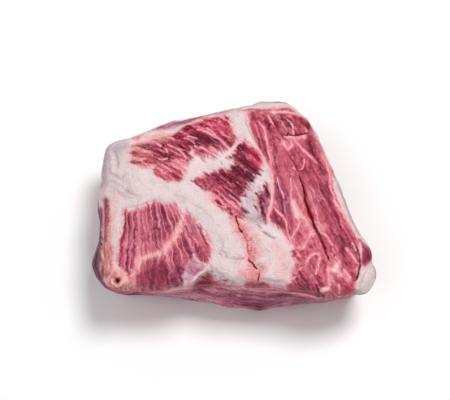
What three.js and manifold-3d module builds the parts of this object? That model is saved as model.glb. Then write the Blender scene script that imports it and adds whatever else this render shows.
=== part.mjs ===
// A raw, boneless piece of pork neck: one solid block of meat and fat, lying on its flattest side
// with the marbled cut face up. Millimetres, +Z up. The origin lies on the surface it rests on,
// under the middle of its bounding box, where the finished solid is moved from the point that the
// outlines are drawn about. +X runs along the block, +Y from its front to its back.
import * as THREE from 'three';
import { ImprovedNoise } from 'three/addons/math/ImprovedNoise.js';
import { mergeVertices } from 'three/addons/utils/BufferGeometryUtils.js';
import Module from 'manifold-3d';

// ---- Driving dimensions ----
const faceHeight = 67; // cut face above the table, at its middle
const faceCrown = 4; // how much lower the face lies along its rim
const rimInset = 8; // the flat part of the face ends this far inside its rim
const rimDrop = 11; // height of the rounding from the face into the sides
const footHeight = 24; // the belly: where the sides start to curl in under the meat
const footInset = 17; // how far they curl in
const footSink = 1.5; // the foot is this deep in the table before it is cut flat

// Triangle grid: cells along X and Y, and rows down the sides.
const cellsAlong = 52;
const cellsAcross = 38;
const rimRows = 3;
const wallRows = 5;
const footRows = 3;
const sideRows = rimRows + wallRows + footRows;

// Corners of the three outlines in plan, as x, y and the distance over which the corner is rounded.
// The rim is the edge of the cut face, the shoulder the line round the sides just under it, and
// the belly the one at the foot height.
const rimCorners = [
  [-94, 41, 9], [-60, 50, 25], [-28, 56.5, 20], [12, 64.5, 25], [48, 64, 13], [59.5, 49, 14],
  [73, 12, 20], [78, -9, 14], [87.5, -46, 17], [85.5, -75.5, 8], [60, -76.5, 9], [44, -69.5, 9],
  [-8, -67, 5], [-19, -58, 5], [-30, -69, 6], [-57, -71.5, 14], [-85, -71, 10], [-90.5, -45, 20],
  [-94.5, 5, 20],
];
const shoulderCorners = [
  [-97, 45.5, 11], [-60, 56, 28], [-14, 67, 22], [27, 79, 15], [45, 74.5, 12], [60, 57, 14],
  [72, 25, 24], [79.5, 1, 18], [86.5, -23, 9], [96, -36, 7], [99.5, -49, 8], [93.5, -62, 9],
  [86.5, -73, 6], [62, -74.5, 10], [40, -69, 20], [-8, -66, 14], [-19, -58, 9], [-30, -67, 12],
  [-57, -69, 14], [-88, -68, 10], [-95.5, -45, 20], [-97, 5, 20],
];
const bellyCorners = [
  [-97, 40, 13], [-60, 53, 28], [0, 70, 26], [30, 76, 15], [47, 72, 13], [64, 57, 16],
  [77, 27, 26], [86, 0, 24], [92, -22, 14], [98, -44, 13], [92, -63, 10], [76, -66.5, 12],
  [45, -69.5, 26], [14, -74, 25], [-28, -68, 25], [-60, -61, 24], [-89, -61, 9],
  [-103, -46, 10], [-98, -22, 18], [-93, 5, 18],
];

// Low swells and hollows of the cut face: a line of points, how far the swell reaches from that
// line, and its height.
const swells = {
  sunkBackLeft: { line: [[-100, 10], [-95, 45], [-60, 62]], reach: 34, height: -9 },
  sunkLeft: { line: [[-100, 10], [-98, -60]], reach: 18, height: -4 },
  shoulderMuscle: { line: [[-62, 30], [-38, 38], [-12, 48]], reach: 17, height: 2.2 },
  bigFatSeam: { line: [[-80, 6], [-48, 2], [-25, -6], [-8, -30]], reach: 13, height: 0.8 },
  ribMuscle: { line: [[-64, -22], [-52, -42], [-38, -52]], reach: 22, height: 1.8 },
  darkMuscle: { line: [[-16, 10], [0, 14], [9, 26]], reach: 13, height: -1.6 },
  fatPadLeft: { line: [[-7, -30], [0, -46], [4, -60]], reach: 14, height: 2.8 },
  fatPadRight: { line: [[16, -34], [25, -46], [27, -58]], reach: 15, height: 4.4 },
  innerStrand: { line: [[20, 52], [25, 30], [33, 4]], reach: 8, height: 1.6 },
  innerBundle: { line: [[31, 45], [38, 20], [45, -6], [54, -34]], reach: 9, height: 3.0 },
  outerBundle: { line: [[50, 30], [59, 4], [68, -24], [75, -46]], reach: 14, height: 4.2 },
  backBlock: { line: [[36, 56], [49, 52]], reach: 11, height: 3.4 },
  pocketUnderBlock: { line: [[42, 39], [54, 40]], reach: 8, height: -2.4 },
  strandsAtFront: { line: [[44, -36], [50, -52], [60, -62]], reach: 13, height: 1.4 },
  cornerMuscle: { line: [[72, -62], [80, -66]], reach: 10, height: 1.6 },
};
const faceUnevenness = { size: 15, height: 0.9 };
const sideUnevenness = { size: 28, flatness: 0.5, height: 2.6 };

// Splits in the face, cut as narrow wedges along a line: half width at the surface and depth.
const splits = {
  longSlit: { line: [[38, 33], [44, 21], [48, 11], [50.5, -2], [54, -17], [59, -31], [63, -43], [67, -54]],
    halfWidth: 2.1, depth: 12, shallowEnd: 10 },
  upperSlit: { line: [[27, 61], [30.5, 53], [34.5, 46], [37.5, 41]], halfWidth: 1.3, depth: 5, shallowEnd: 4 },
  fatFissure: { line: [[1, -17], [4, -26], [8.5, -37], [11, -47], [15.5, -54.5], [18.5, -60], [17, -68]],
    halfWidth: 1.4, depth: 7, shallowEnd: 3 },
  blockEdge: { line: [[37, 45.5], [45, 45], [55, 46.5]], halfWidth: 1.4, depth: 5, shallowEnd: 3 },
  cornerCrease: { line: [[81, -31], [85.5, -42], [87, -54], [84, -66], [80, -76]], halfWidth: 1.5, depth: 9, shallowEnd: 3 },
  frontCrease: { line: [[57.5, -66], [59.5, -72], [65, -78]], halfWidth: 1.3, depth: 5, shallowEnd: 2 },
};

// Rounded lumps that stand out of the block: middle, half sizes and turn about Z in degrees.
const lumps = {
  cornerFat: { at: [91, -59, 50.5], half: [8.5, 12.5, 13.5], turn: -20 },
  frontKnob: { at: [62.5, -70.5, 61.5], half: [4.2, 4.2, 4.2], turn: 0 },
  knotBySlit: { at: [41.5, 38, 64.5], half: [3.8, 4.6, 3.2], turn: 20 },
};

// The torn edge of the thin skin over the front notch, and the cut blood vessel at the front left.
const skinLip = { line: [[-34, -67], [-27, -65], [-22, -60], [-15, -54]], radius: 1.5 };
const vessel = { at: [-79.5, -64], ringRadius: 4.2, wall: 1.5, bore: 2.2, depth: 7 };

const noise = new ImprovedNoise();
const { clamp, degToRad, lerp, smoothstep } = THREE.MathUtils;

// ---- Outlines ----
// A closed polygon whose corners are rounded, as its distance from the middle in every direction.
function radiusByAngle(corners) {
  const path = new THREE.Path();
  const points = corners.map(([x, y]) => new THREE.Vector2(x, y));
  points.forEach((corner, i) => {
    const before = points.at(i - 1);
    const after = points[(i + 1) % points.length];
    const rounding = corners[i][2];
    const start = corner.clone().add(before.clone().sub(corner).setLength(rounding));
    const end = corner.clone().add(after.clone().sub(corner).setLength(rounding));
    if (i === 0) path.moveTo(start.x, start.y);
    else path.lineTo(start.x, start.y);
    path.quadraticCurveTo(corner.x, corner.y, end.x, end.y);
  });
  path.closePath();
  const outline = path.getPoints(12).map((p) => ({ angle: p.angle(), radius: p.length() }));
  outline.sort((a, b) => a.angle - b.angle);
  const turn = 2 * Math.PI;
  return (angle) => {
    const wanted = (angle + turn) % turn;
    let next = outline.findIndex((p) => p.angle > wanted);
    if (next < 0) next = 0;
    const low = outline.at(next - 1);
    const high = outline[next];
    const span = (high.angle - low.angle + turn) % turn;
    return lerp(low.radius, high.radius, span ? ((wanted - low.angle + turn) % turn) / span : 0);
  };
}
const rimRadiusAt = radiusByAngle(rimCorners);
const shoulderRadiusAt = radiusByAngle(shoulderCorners);
const bellyRadiusAt = radiusByAngle(bellyCorners);

// ---- Cut face ----
function distanceToLine(x, y, line) {
  const point = new THREE.Vector3(x, y, 0);
  const nearest = new THREE.Vector3();
  let best = Infinity;
  for (let i = 1; i < line.length; i++) {
    const stretch = new THREE.Line3(new THREE.Vector3(...line[i - 1], 0), new THREE.Vector3(...line[i], 0));
    stretch.closestPointToPoint(point, true, nearest);
    best = Math.min(best, nearest.distanceTo(point));
  }
  return best;
}

function heightOfFace(x, y) {
  const share = Math.hypot(x, y) / rimRadiusAt(Math.atan2(y, x));
  let height = faceHeight - faceCrown * share ** 3;
  for (const swell of Object.values(swells))
    height += swell.height * (1 - smoothstep(distanceToLine(x, y, swell.line), 0, swell.reach));
  const { size, height: unevenness } = faceUnevenness;
  return height + unevenness * noise.noise(x / size, y / size, 0.5);
}

// ---- Sides ----
// Row 0 is the edge of the flat part of the face, and the last row is the foot.
function pointOnSide(angle, row) {
  const cos = Math.cos(angle);
  const sin = Math.sin(angle);
  const rim = rimRadiusAt(angle) - rimInset;
  const shoulder = shoulderRadiusAt(angle);
  const belly = bellyRadiusAt(angle);
  const faceEdge = heightOfFace(rim * cos, rim * sin);
  const shoulderHeight = faceEdge - rimDrop;
  let radius;
  let z;
  if (row <= rimRows) {
    const bend = (row / rimRows) * (Math.PI / 2);
    radius = lerp(rim, shoulder, Math.sin(bend));
    z = faceEdge - rimDrop * (1 - Math.cos(bend));
  } else if (row <= rimRows + wallRows) {
    const share = (row - rimRows) / wallRows;
    z = lerp(shoulderHeight, footHeight, share);
    radius = lerp(shoulder, belly, smoothstep(share, 0, 1));
  } else {
    const bend = ((row - rimRows - wallRows) / footRows) * (Math.PI / 2);
    radius = belly - footInset * (1 - Math.cos(bend));
    z = footHeight - (footHeight + footSink) * Math.sin(bend);
  }
  const { size, flatness, height } = sideUnevenness;
  const swell = height * noise.noise((radius * cos) / size, (radius * sin) / size, z / (size * flatness));
  radius += swell * smoothstep(row, 0, rimRows);
  return [radius * cos, radius * sin, z];
}

// ---- Block ----
// A box's grid gives the mesh its faces, and each of its points moves to its place on the meat.
function blockGeometry() {
  const box = mergedPositions(new THREE.BoxGeometry(2, 2, 2, cellsAlong, cellsAcross, sideRows));
  const position = box.attributes.position;
  for (let i = 0; i < position.count; i++) {
    const [x, y, z] = [position.getX(i), position.getY(i), position.getZ(i)];
    const angle = Math.atan2(y * cellsAcross, x * cellsAlong);
    const ring = Math.max(Math.abs(x), Math.abs(y));
    const onTop = z > 0.999;
    const row = Math.round(((1 - z) / 2) * sideRows);
    const edge = pointOnSide(angle, row);
    const px = edge[0] * ring;
    const py = edge[1] * ring;
    position.setXYZ(i, px, py, onTop && ring < 1 ? heightOfFace(px, py) : edge[2]);
  }
  return box;
}

function mergedPositions(geometry) {
  geometry.deleteAttribute('normal');
  geometry.deleteAttribute('uv');
  return mergeVertices(geometry, 1e-4);
}

// ---- Solids ----
const wasm = await Module();
wasm.setup();

function solidFrom(geometry) {
  const merged = mergedPositions(geometry);
  return new wasm.Manifold(new wasm.Mesh({
    numProp: 3,
    vertProperties: new Float32Array(merged.attributes.position.array),
    triVerts: new Uint32Array(merged.index.array),
  }));
}

function geometryFrom(solid) {
  const mesh = solid.getMesh();
  const geometry = new THREE.BufferGeometry();
  geometry.setAttribute('position', new THREE.BufferAttribute(mesh.vertProperties, 3));
  geometry.setIndex(new THREE.BufferAttribute(mesh.triVerts, 1));
  geometry.computeVertexNormals();
  return geometry;
}

// A line on the face as a curve in space, lifted by lift(share) over the face.
function curveOnFace(line, lift) {
  const flat = new THREE.SplineCurve(line.map(([x, y]) => new THREE.Vector2(x, y)));
  const steps = Math.max(8, Math.round(flat.getLength() / 4.5));
  return new THREE.CatmullRomCurve3(flat.getSpacedPoints(steps).map((p, i) => (
    new THREE.Vector3(p.x, p.y, heightOfFace(p.x, p.y) + lift(i / steps)))));
}

// A prism bent along a curve. Its section stands upright everywhere.
function bentPrism(curve, sides, halfWidth, halfHeight, spacing) {
  const steps = Math.max(6, Math.round(curve.getLength() / spacing));
  const prism = new THREE.CylinderGeometry(1, 1, 1, sides, steps);
  const up = new THREE.Vector3(0, 0, 1);
  const position = prism.attributes.position;
  for (let i = 0; i < position.count; i++) {
    const share = clamp(position.getY(i) + 0.5, 0, 1);
    const side = new THREE.Vector3().crossVectors(curve.getTangentAt(share), up).normalize();
    const point = curve.getPointAt(share)
      .addScaledVector(side, position.getX(i) * halfWidth)
      .addScaledVector(up, position.getZ(i) * halfHeight);
    position.setXYZ(i, point.x, point.y, point.z);
  }
  return prism;
}

// A wedge with its edge down, that rises out of the meat towards the ends of its line.
function splitGeometry({ line, halfWidth, depth, shallowEnd }) {
  const rise = (share) => depth * 1.15 * (1 - smoothstep(Math.min(share, 1 - share) * 10, 0, shallowEnd / 2));
  return bentPrism(curveOnFace(line, rise), 4, halfWidth, depth, 5);
}

function lumpGeometry({ at, half, turn }) {
  const lump = new THREE.SphereGeometry(1, 18, 12);
  lump.rotateX(Math.PI / 2);
  lump.scale(...half);
  lump.rotateZ(degToRad(turn));
  return lump.translate(...at);
}

function skinLipGeometry() {
  const { line, radius } = skinLip;
  const sink = (share) => -radius * (2 - 1.6 * smoothstep(Math.min(share, 1 - share), 0, 0.25));
  return bentPrism(curveOnFace(line, sink), 8, radius, radius, 3);
}

function vesselGeometry() {
  const [x, y] = vessel.at;
  const z = heightOfFace(x, y);
  const ring = new THREE.TorusGeometry(vessel.ringRadius, vessel.wall, 8, 16).translate(x, y, z);
  const bore = new THREE.CylinderGeometry(vessel.bore, vessel.bore, vessel.depth * 2, 12);
  bore.rotateX(Math.PI / 2).translate(x, y, z - vessel.depth + vessel.wall * 2);
  return { ring, bore };
}

function tableGeometry() {
  const depth = 20;
  return new THREE.BoxGeometry(300, 300, depth).translate(0, 0, -depth / 2);
}

function makeMeat() {
  let meat = solidFrom(blockGeometry());
  const { ring, bore } = vesselGeometry();
  for (const raised of [...Object.values(lumps).map(lumpGeometry), skinLipGeometry(), ring])
    meat = meat.add(solidFrom(raised));
  for (const cutter of [...Object.values(splits).map(splitGeometry), bore, tableGeometry()])
    meat = meat.subtract(solidFrom(cutter));
  const geometry = geometryFrom(meat);
  const middle = new THREE.Box3().setFromBufferAttribute(geometry.attributes.position).getCenter(new THREE.Vector3());
  return geometry.translate(-middle.x, -middle.y, 0);
}

const rawPork = new THREE.MeshStandardMaterial({ color: 0xc4606f, roughness: 0.45, metalness: 0 });
const porkNeck = new THREE.Mesh(makeMeat(), rawPork);
porkNeck.name = 'pork_neck';

const part = new THREE.Group();
part.add(porkNeck);

export default part;
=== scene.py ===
import math
from types import SimpleNamespace

import bmesh
import bpy
import numpy as np
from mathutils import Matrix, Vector, noise


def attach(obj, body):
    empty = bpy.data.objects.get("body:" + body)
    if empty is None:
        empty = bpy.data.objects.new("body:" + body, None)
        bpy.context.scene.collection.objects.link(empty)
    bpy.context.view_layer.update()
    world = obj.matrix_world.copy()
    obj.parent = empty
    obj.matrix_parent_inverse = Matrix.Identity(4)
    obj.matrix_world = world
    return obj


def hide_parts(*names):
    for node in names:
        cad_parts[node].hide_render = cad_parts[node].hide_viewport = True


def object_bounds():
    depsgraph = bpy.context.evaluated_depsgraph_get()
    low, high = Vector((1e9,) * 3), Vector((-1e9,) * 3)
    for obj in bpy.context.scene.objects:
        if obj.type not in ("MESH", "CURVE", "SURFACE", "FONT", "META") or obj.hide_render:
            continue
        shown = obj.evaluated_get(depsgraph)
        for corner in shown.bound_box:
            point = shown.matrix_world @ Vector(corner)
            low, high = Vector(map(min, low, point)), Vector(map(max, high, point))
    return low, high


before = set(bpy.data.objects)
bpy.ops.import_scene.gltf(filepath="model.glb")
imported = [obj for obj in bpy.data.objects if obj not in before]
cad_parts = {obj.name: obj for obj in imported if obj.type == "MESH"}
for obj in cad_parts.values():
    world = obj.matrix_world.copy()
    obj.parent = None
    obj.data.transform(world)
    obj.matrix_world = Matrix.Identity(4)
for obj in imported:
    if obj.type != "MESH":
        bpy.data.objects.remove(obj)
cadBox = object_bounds()
print("frame loaded")

mm = 0.001
farAway = 1e9  # mm

# The camera comes first because the marks on the cut face are laid out as it sees them.
camera = {
    "aim": (-4.4, -1.4, 50.0),  # mm
    "elevation": 68.0,  # degrees
    "distance": 765.0,  # mm
    "lens": 85.0,  # mm
    "sensor": 36.0,  # mm
}


def makeCamera():
    lens = bpy.data.cameras.new("photoLens")
    lens.lens = camera["lens"]
    lens.sensor_width = camera["sensor"]
    lens.clip_start = 0.01
    eye = bpy.data.objects.new("photoCamera", lens)
    bpy.context.collection.objects.link(eye)
    tilt = math.radians(camera["elevation"])
    back = Vector((0, -math.cos(tilt), math.sin(tilt)))
    eye.location = (Vector(camera["aim"]) + back * camera["distance"]) * mm
    eye.rotation_euler = (math.pi / 2 - tilt, 0, 0)
    bpy.context.scene.camera = eye
    return np.array(eye.location) / mm


eyePoint = makeCamera()


# What the cut face shows. Every point is in mm on the chart's level above the table, from its centre.
chart = {"centre": (1.4, -1.4), "level": 64.0}

# Lean: outline, direction of its fibres in degrees, how much they fan out and curve, how dark it is,
# how many pale streaks it has, how salmon (+) or purple (-) it is, how ragged its edge is (mm), how
# far it bulges (mm), how strong its grain is and how strong the even ribs in it are.
plainMuscle = {"fan": 0, "curve": 0, "pale": 0.2, "warm": 0.0, "feather": 0.8, "bulge": 0.6, "grain": 0.6,
               "ribs": 0}
muscles = {
    "upperLeft": {
        "outline": [(-75, 30), (-72, 33), (-73, 37), (-69, 39), (-62, 40), (-56, 44), (-46, 45), (-39, 49),
                    (-35, 53), (-25, 56), (-21, 58.5), (-13, 60), (-3, 60.5), (-2, 55), (0, 50), (2, 45),
                    (3.5, 42), (1, 37), (-3, 34), (-8, 31), (-13, 28), (-20, 26), (-28, 28.5), (-31, 24),
                    (-34, 19), (-35, 12), (-39, 9), (-46, 9), (-52, 11), (-57, 15), (-58, 19), (-67, 20),
                    (-74, 23), (-73, 27)],
        "angle": -31, "curve": 0.0042, "dark": 0.53, "pale": 0.12, "feather": 1.5, "bulge": 0.7,
        "grain": 1.2},
    "backStrip": {
        "outline": [(-60, 49), (-52, 50.5), (-44, 51), (-37, 53.5), (-30, 57), (-16, 61.5), (-4, 64),
                    (-16, 63.5), (-32, 60), (-46, 56.5), (-58, 53)],
        "angle": 18, "dark": 0.34, "warm": -1.0, "bulge": 0.0, "grain": 0.7},
    "patchSkin": {
        "outline": [(-73, 43), (-70, 45.5), (-64, 46.5), (-66, 44), (-70, 42)],
        "angle": 18, "dark": 0.3, "warm": -0.4, "bulge": 0.0, "grain": 0.4},
    "darkCentre": {
        "outline": [(-29, 9), (-22, 13), (-18, 15), (-14, 17.5), (-6, 17.5), (-2, 20), (1, 23), (-3, 27.5),
                    (0, 30), (2, 36), (6, 40), (10, 41), (14, 37), (20, 30), (21, 20), (18, 13), (11, 10),
                    (12, 3), (8, 0), (5, -8), (10, -16), (4, -19), (-1, -17), (-6, -13), (-11, -8), (-16, -3),
                    (-22, 3)],
        "angle": -43, "dark": 0.68, "pale": 0.0, "warm": -0.2, "feather": 1.8, "bulge": 0.5, "grain": 1.1},
    "ribbed": {
        "outline": [(-77, -12), (-74, -14), (-67, -12), (-64, -11), (-61, -9), (-55, -7), (-50, -9),
                    (-45, -8), (-41, -9), (-37, -15), (-33, -14), (-29, -18), (-24, -25), (-19, -32),
                    (-15, -41), (-15, -45), (-17, -52), (-24, -53), (-30, -52), (-31, -60), (-35, -68),
                    (-40, -72), (-60, -75), (-72, -75), (-76, -69), (-74, -62), (-78, -57), (-80, -54),
                    (-81.5, -47), (-80, -42), (-79, -33), (-77, -25)],
        "angle": -79, "fan": 0.3, "dark": 0.43, "warm": -0.36, "feather": 1.3, "grain": 0.65, "ribs": 0.8},
    "leftStrip": {
        "outline": [(-92, -6), (-89, -4), (-87.5, -12), (-86.2, -22), (-86.6, -35), (-84.5, -44),
                    (-83.7, -50), (-83, -57), (-86, -63), (-91, -63), (-91.5, -50), (-91.3, -30),
                    (-91.5, -15)],
        "angle": -88, "dark": 0.58, "pale": 0.1, "warm": 0.9, "feather": 0.9, "bulge": 0.3, "grain": 1.0},
    # The wall left of the cut face: dark plum lean, darker still as painted shade.
    "leftWall": {
        "outline": [(-91.8, -13), (-91.3, -30), (-91.4, -50), (-91.6, -62), (-94, -68), (-106, -66),
                    (-108, -30), (-98, -12)],
        "angle": -88, "dark": 0.95, "pale": -0.5, "warm": -0.9, "feather": 1.2, "bulge": 0.3, "grain": 0.4},
    "salmonCorner": {
        "outline": [(-85, -74), (-70, -76), (-68, -66), (-74, -60), (-78, -58), (-85, -60)],
        "angle": -60, "dark": 0.32, "pale": 0.4, "warm": 0.7, "feather": 2.4, "bulge": 0.0, "grain": 1.0},
    "sliver": {
        "outline": [(21, 7), (26, 6), (27, 0), (26, -9), (25, -18), (23.5, -23.5), (20.5, -21), (18.5, -15),
                    (16.6, -10), (17, -3), (20, 1)],
        "angle": -70, "dark": 0.72, "warm": -0.5, "feather": 1.6, "bulge": 0.4, "grain": 0.8},
    "strand": {
        "outline": [(10, 62), (12, 52), (15, 43), (19, 34), (23, 24), (26, 20), (28, 10), (28, 0), (27, -10),
                    (25, -21), (30, -26), (35, -31), (39, -38), (41, -38), (41, -20), (40, 0), (38, 20),
                    (36, 36), (30, 62), (22, 67)],
        "angle": -76, "dark": 0.42, "pale": 0.25, "warm": -0.2, "bulge": 0.5},
    "inner": {
        "outline": [(30, 62), (36, 45), (44, 21), (49, 5), (51, -10), (58, -30), (66, -53), (62, -50),
                    (58, -43), (56, -30), (48, -16), (42, -4), (34, 16), (28, 40), (26, 60)],
        "angle": -72, "dark": 0.32, "pale": 0.15, "warm": -0.15, "feather": 0.6, "bulge": 0.5, "grain": 0.4},
    "brightFold": {
        "outline": [(41, -4), (45, -8), (48, -15), (52, -22), (56, -29), (54, -32), (50, -39), (46, -43),
                    (41, -40), (40, -35), (44, -27)],
        "angle": -60, "dark": 0.13, "pale": 0.0, "feather": 0.6, "bulge": 0.8, "grain": 0.25},
    "foldUnder": {
        "outline": [(54, -30), (58, -31), (63, -44), (66, -54), (60, -50), (57, -44), (50, -42), (49, -38)],
        "angle": -66, "dark": 0.32, "pale": 0.25, "warm": 0.05, "bulge": 0.5},
    "outer": {
        "outline": [(38, 43), (46, 43), (54, 45), (62, 44), (68, 25), (70, 14), (72, 3), (75, -8), (80, -20),
                    (86, -30), (88, -42), (86, -54), (78, -58), (66, -53), (58, -30), (51, -10), (48, 12),
                    (44, 21), (39, 33)],
        "angle": -67, "dark": 0.42, "pale": 0.15, "warm": -0.1, "feather": 0.6},
    "backBlock": {
        "outline": [(26, 62), (30, 57), (35, 48), (40, 45.5), (56, 46.5), (61, 46), (58, 54), (50, 61),
                    (40, 63.5), (30, 63)],
        "angle": -50, "dark": 0.44, "pale": 0.25, "grain": 0.9},
    "backLens": {
        "outline": [(4, 65), (14, 64.5), (24, 64), (37, 64.5), (47, 62.5), (44, 66), (34, 68), (16, 66.5)],
        "angle": 5, "dark": 0.42, "warm": 0.1, "feather": 0.6, "bulge": 0.2, "grain": 0.7},
    "frontStrands": {
        "outline": [(41, -42), (50, -43), (58, -46), (66, -53), (66, -70), (60, -84), (38, -80), (36, -68),
                    (41, -63), (40, -58), (43, -52), (40, -46)],
        "angle": -62, "dark": 0.41, "pale": 0.25, "feather": 1.2, "grain": 0.7},
    "corner": {
        "outline": [(66, -53), (78, -58), (86, -54), (85, -62), (84, -70), (84, -80), (64, -84), (62, -72)],
        "angle": -50, "dark": 0.38, "grain": 0.45},
    "underPad": {
        "outline": [(7, -67.5), (14, -66), (24, -67.5), (25, -71.5), (9, -71.5)],
        "angle": 0, "dark": 0.72, "pale": 0.1, "bulge": 0.0},
    # The wall of the front notch: dark lean, darkened further as painted shade in the notch.
    "notchWall": {
        "outline": [(-31, -70.5), (-26, -66), (-21, -62.5), (-17.5, -60), (-15, -62), (-12, -65), (-8, -66.5),
                    (-1, -67.5), (6, -69), (6, -71), (-12, -70)],
        "angle": 0, "dark": 0.62, "pale": 0.1, "warm": -0.2, "feather": 0.9, "bulge": 0.0},
    "frontWall": {
        "outline": [(-88, -72.5), (-60, -74), (-30, -71), (0, -72), (30, -69.5), (62, -76), (84, -81),
                    (90, -100), (-90, -100)],
        "angle": 0, "dark": 0.24, "warm": -0.7, "feather": 1.2, "bulge": 0.3},
    "rimTop": {
        "outline": [(56, 57), (61, 47), (65, 34), (68.5, 22), (71, 13), (76, 12), (84, 30), (80, 50),
                    (66, 62)],
        "angle": -70, "dark": 0.26, "pale": 0.3, "warm": -0.2, "bulge": 0.2, "grain": 0.5},
    "sideLobe": {
        "outline": [(87, -34), (92, -36), (97, -42), (98, -50), (95, -52), (90, -55), (86.5, -50), (86, -42)],
        "angle": -80, "dark": 0.48, "warm": -0.3, "bulge": 0.3},
}

# Where muscles lie against each other with no fat between them.
leanGround = {
    "right": [(13, 62), (18, 45), (24, 28), (29, 12), (30, -8), (28, -20), (34, -27), (40, -38), (43, -48),
              (43, -60), (40, -68), (44, -78), (84, -78), (83, -66), (85, -56), (86, -44), (78, -18), (72, 2),
              (68, 24), (62, 42), (56, 54), (46, 61), (30, 63)],
    "ribbed": [(-30, -50), (-20, -50), (-17, -54), (-26, -62), (-33, -70), (-38, -70)],
}

# Fat that lies on or in the lean.
fatPatches = {
    "flap": [(85, -65), (86.5, -60.5), (89, -56), (97, -51), (106, -50), (106, -66), (98, -80), (84, -84),
             (83.5, -74)],
    "wedgeTail": [(9, 61), (11, 60), (12, 52), (14.5, 44), (17, 36), (14, 38), (10, 48)],
    "backSkin": [(2, 66.6), (13, 66.4), (27, 67.4), (38, 68), (46, 67), (60, 60), (60, 84), (20, 86),
                 (0, 80)],
    "rightEdge": [(70.5, 14), (75, 8), (80, -2), (85, -12), (92, -27), (96, -35), (88, -34), (84, -28),
                  (79, -19), (76, -12), (73.6, -4), (71.6, 5)],
    "lobeStrip": [(88, -37), (89.5, -42), (88.5, -50), (87.5, -50), (87.5, -42)],
    "streakOne": [(-29.5, 34), (-28, 30), (-26, 28.5), (-24, 27), (-28, 26), (-31, 29)],
}

# Thin silver skin that hangs over the front notch.
silverSkin = [(-30, -49.5), (-27, -50), (-22, -53), (-17, -55), (-17.5, -59), (-22, -61.5), (-26, -66),
              (-29.5, -69), (-34.5, -69), (-35, -62), (-32, -55)]

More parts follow.
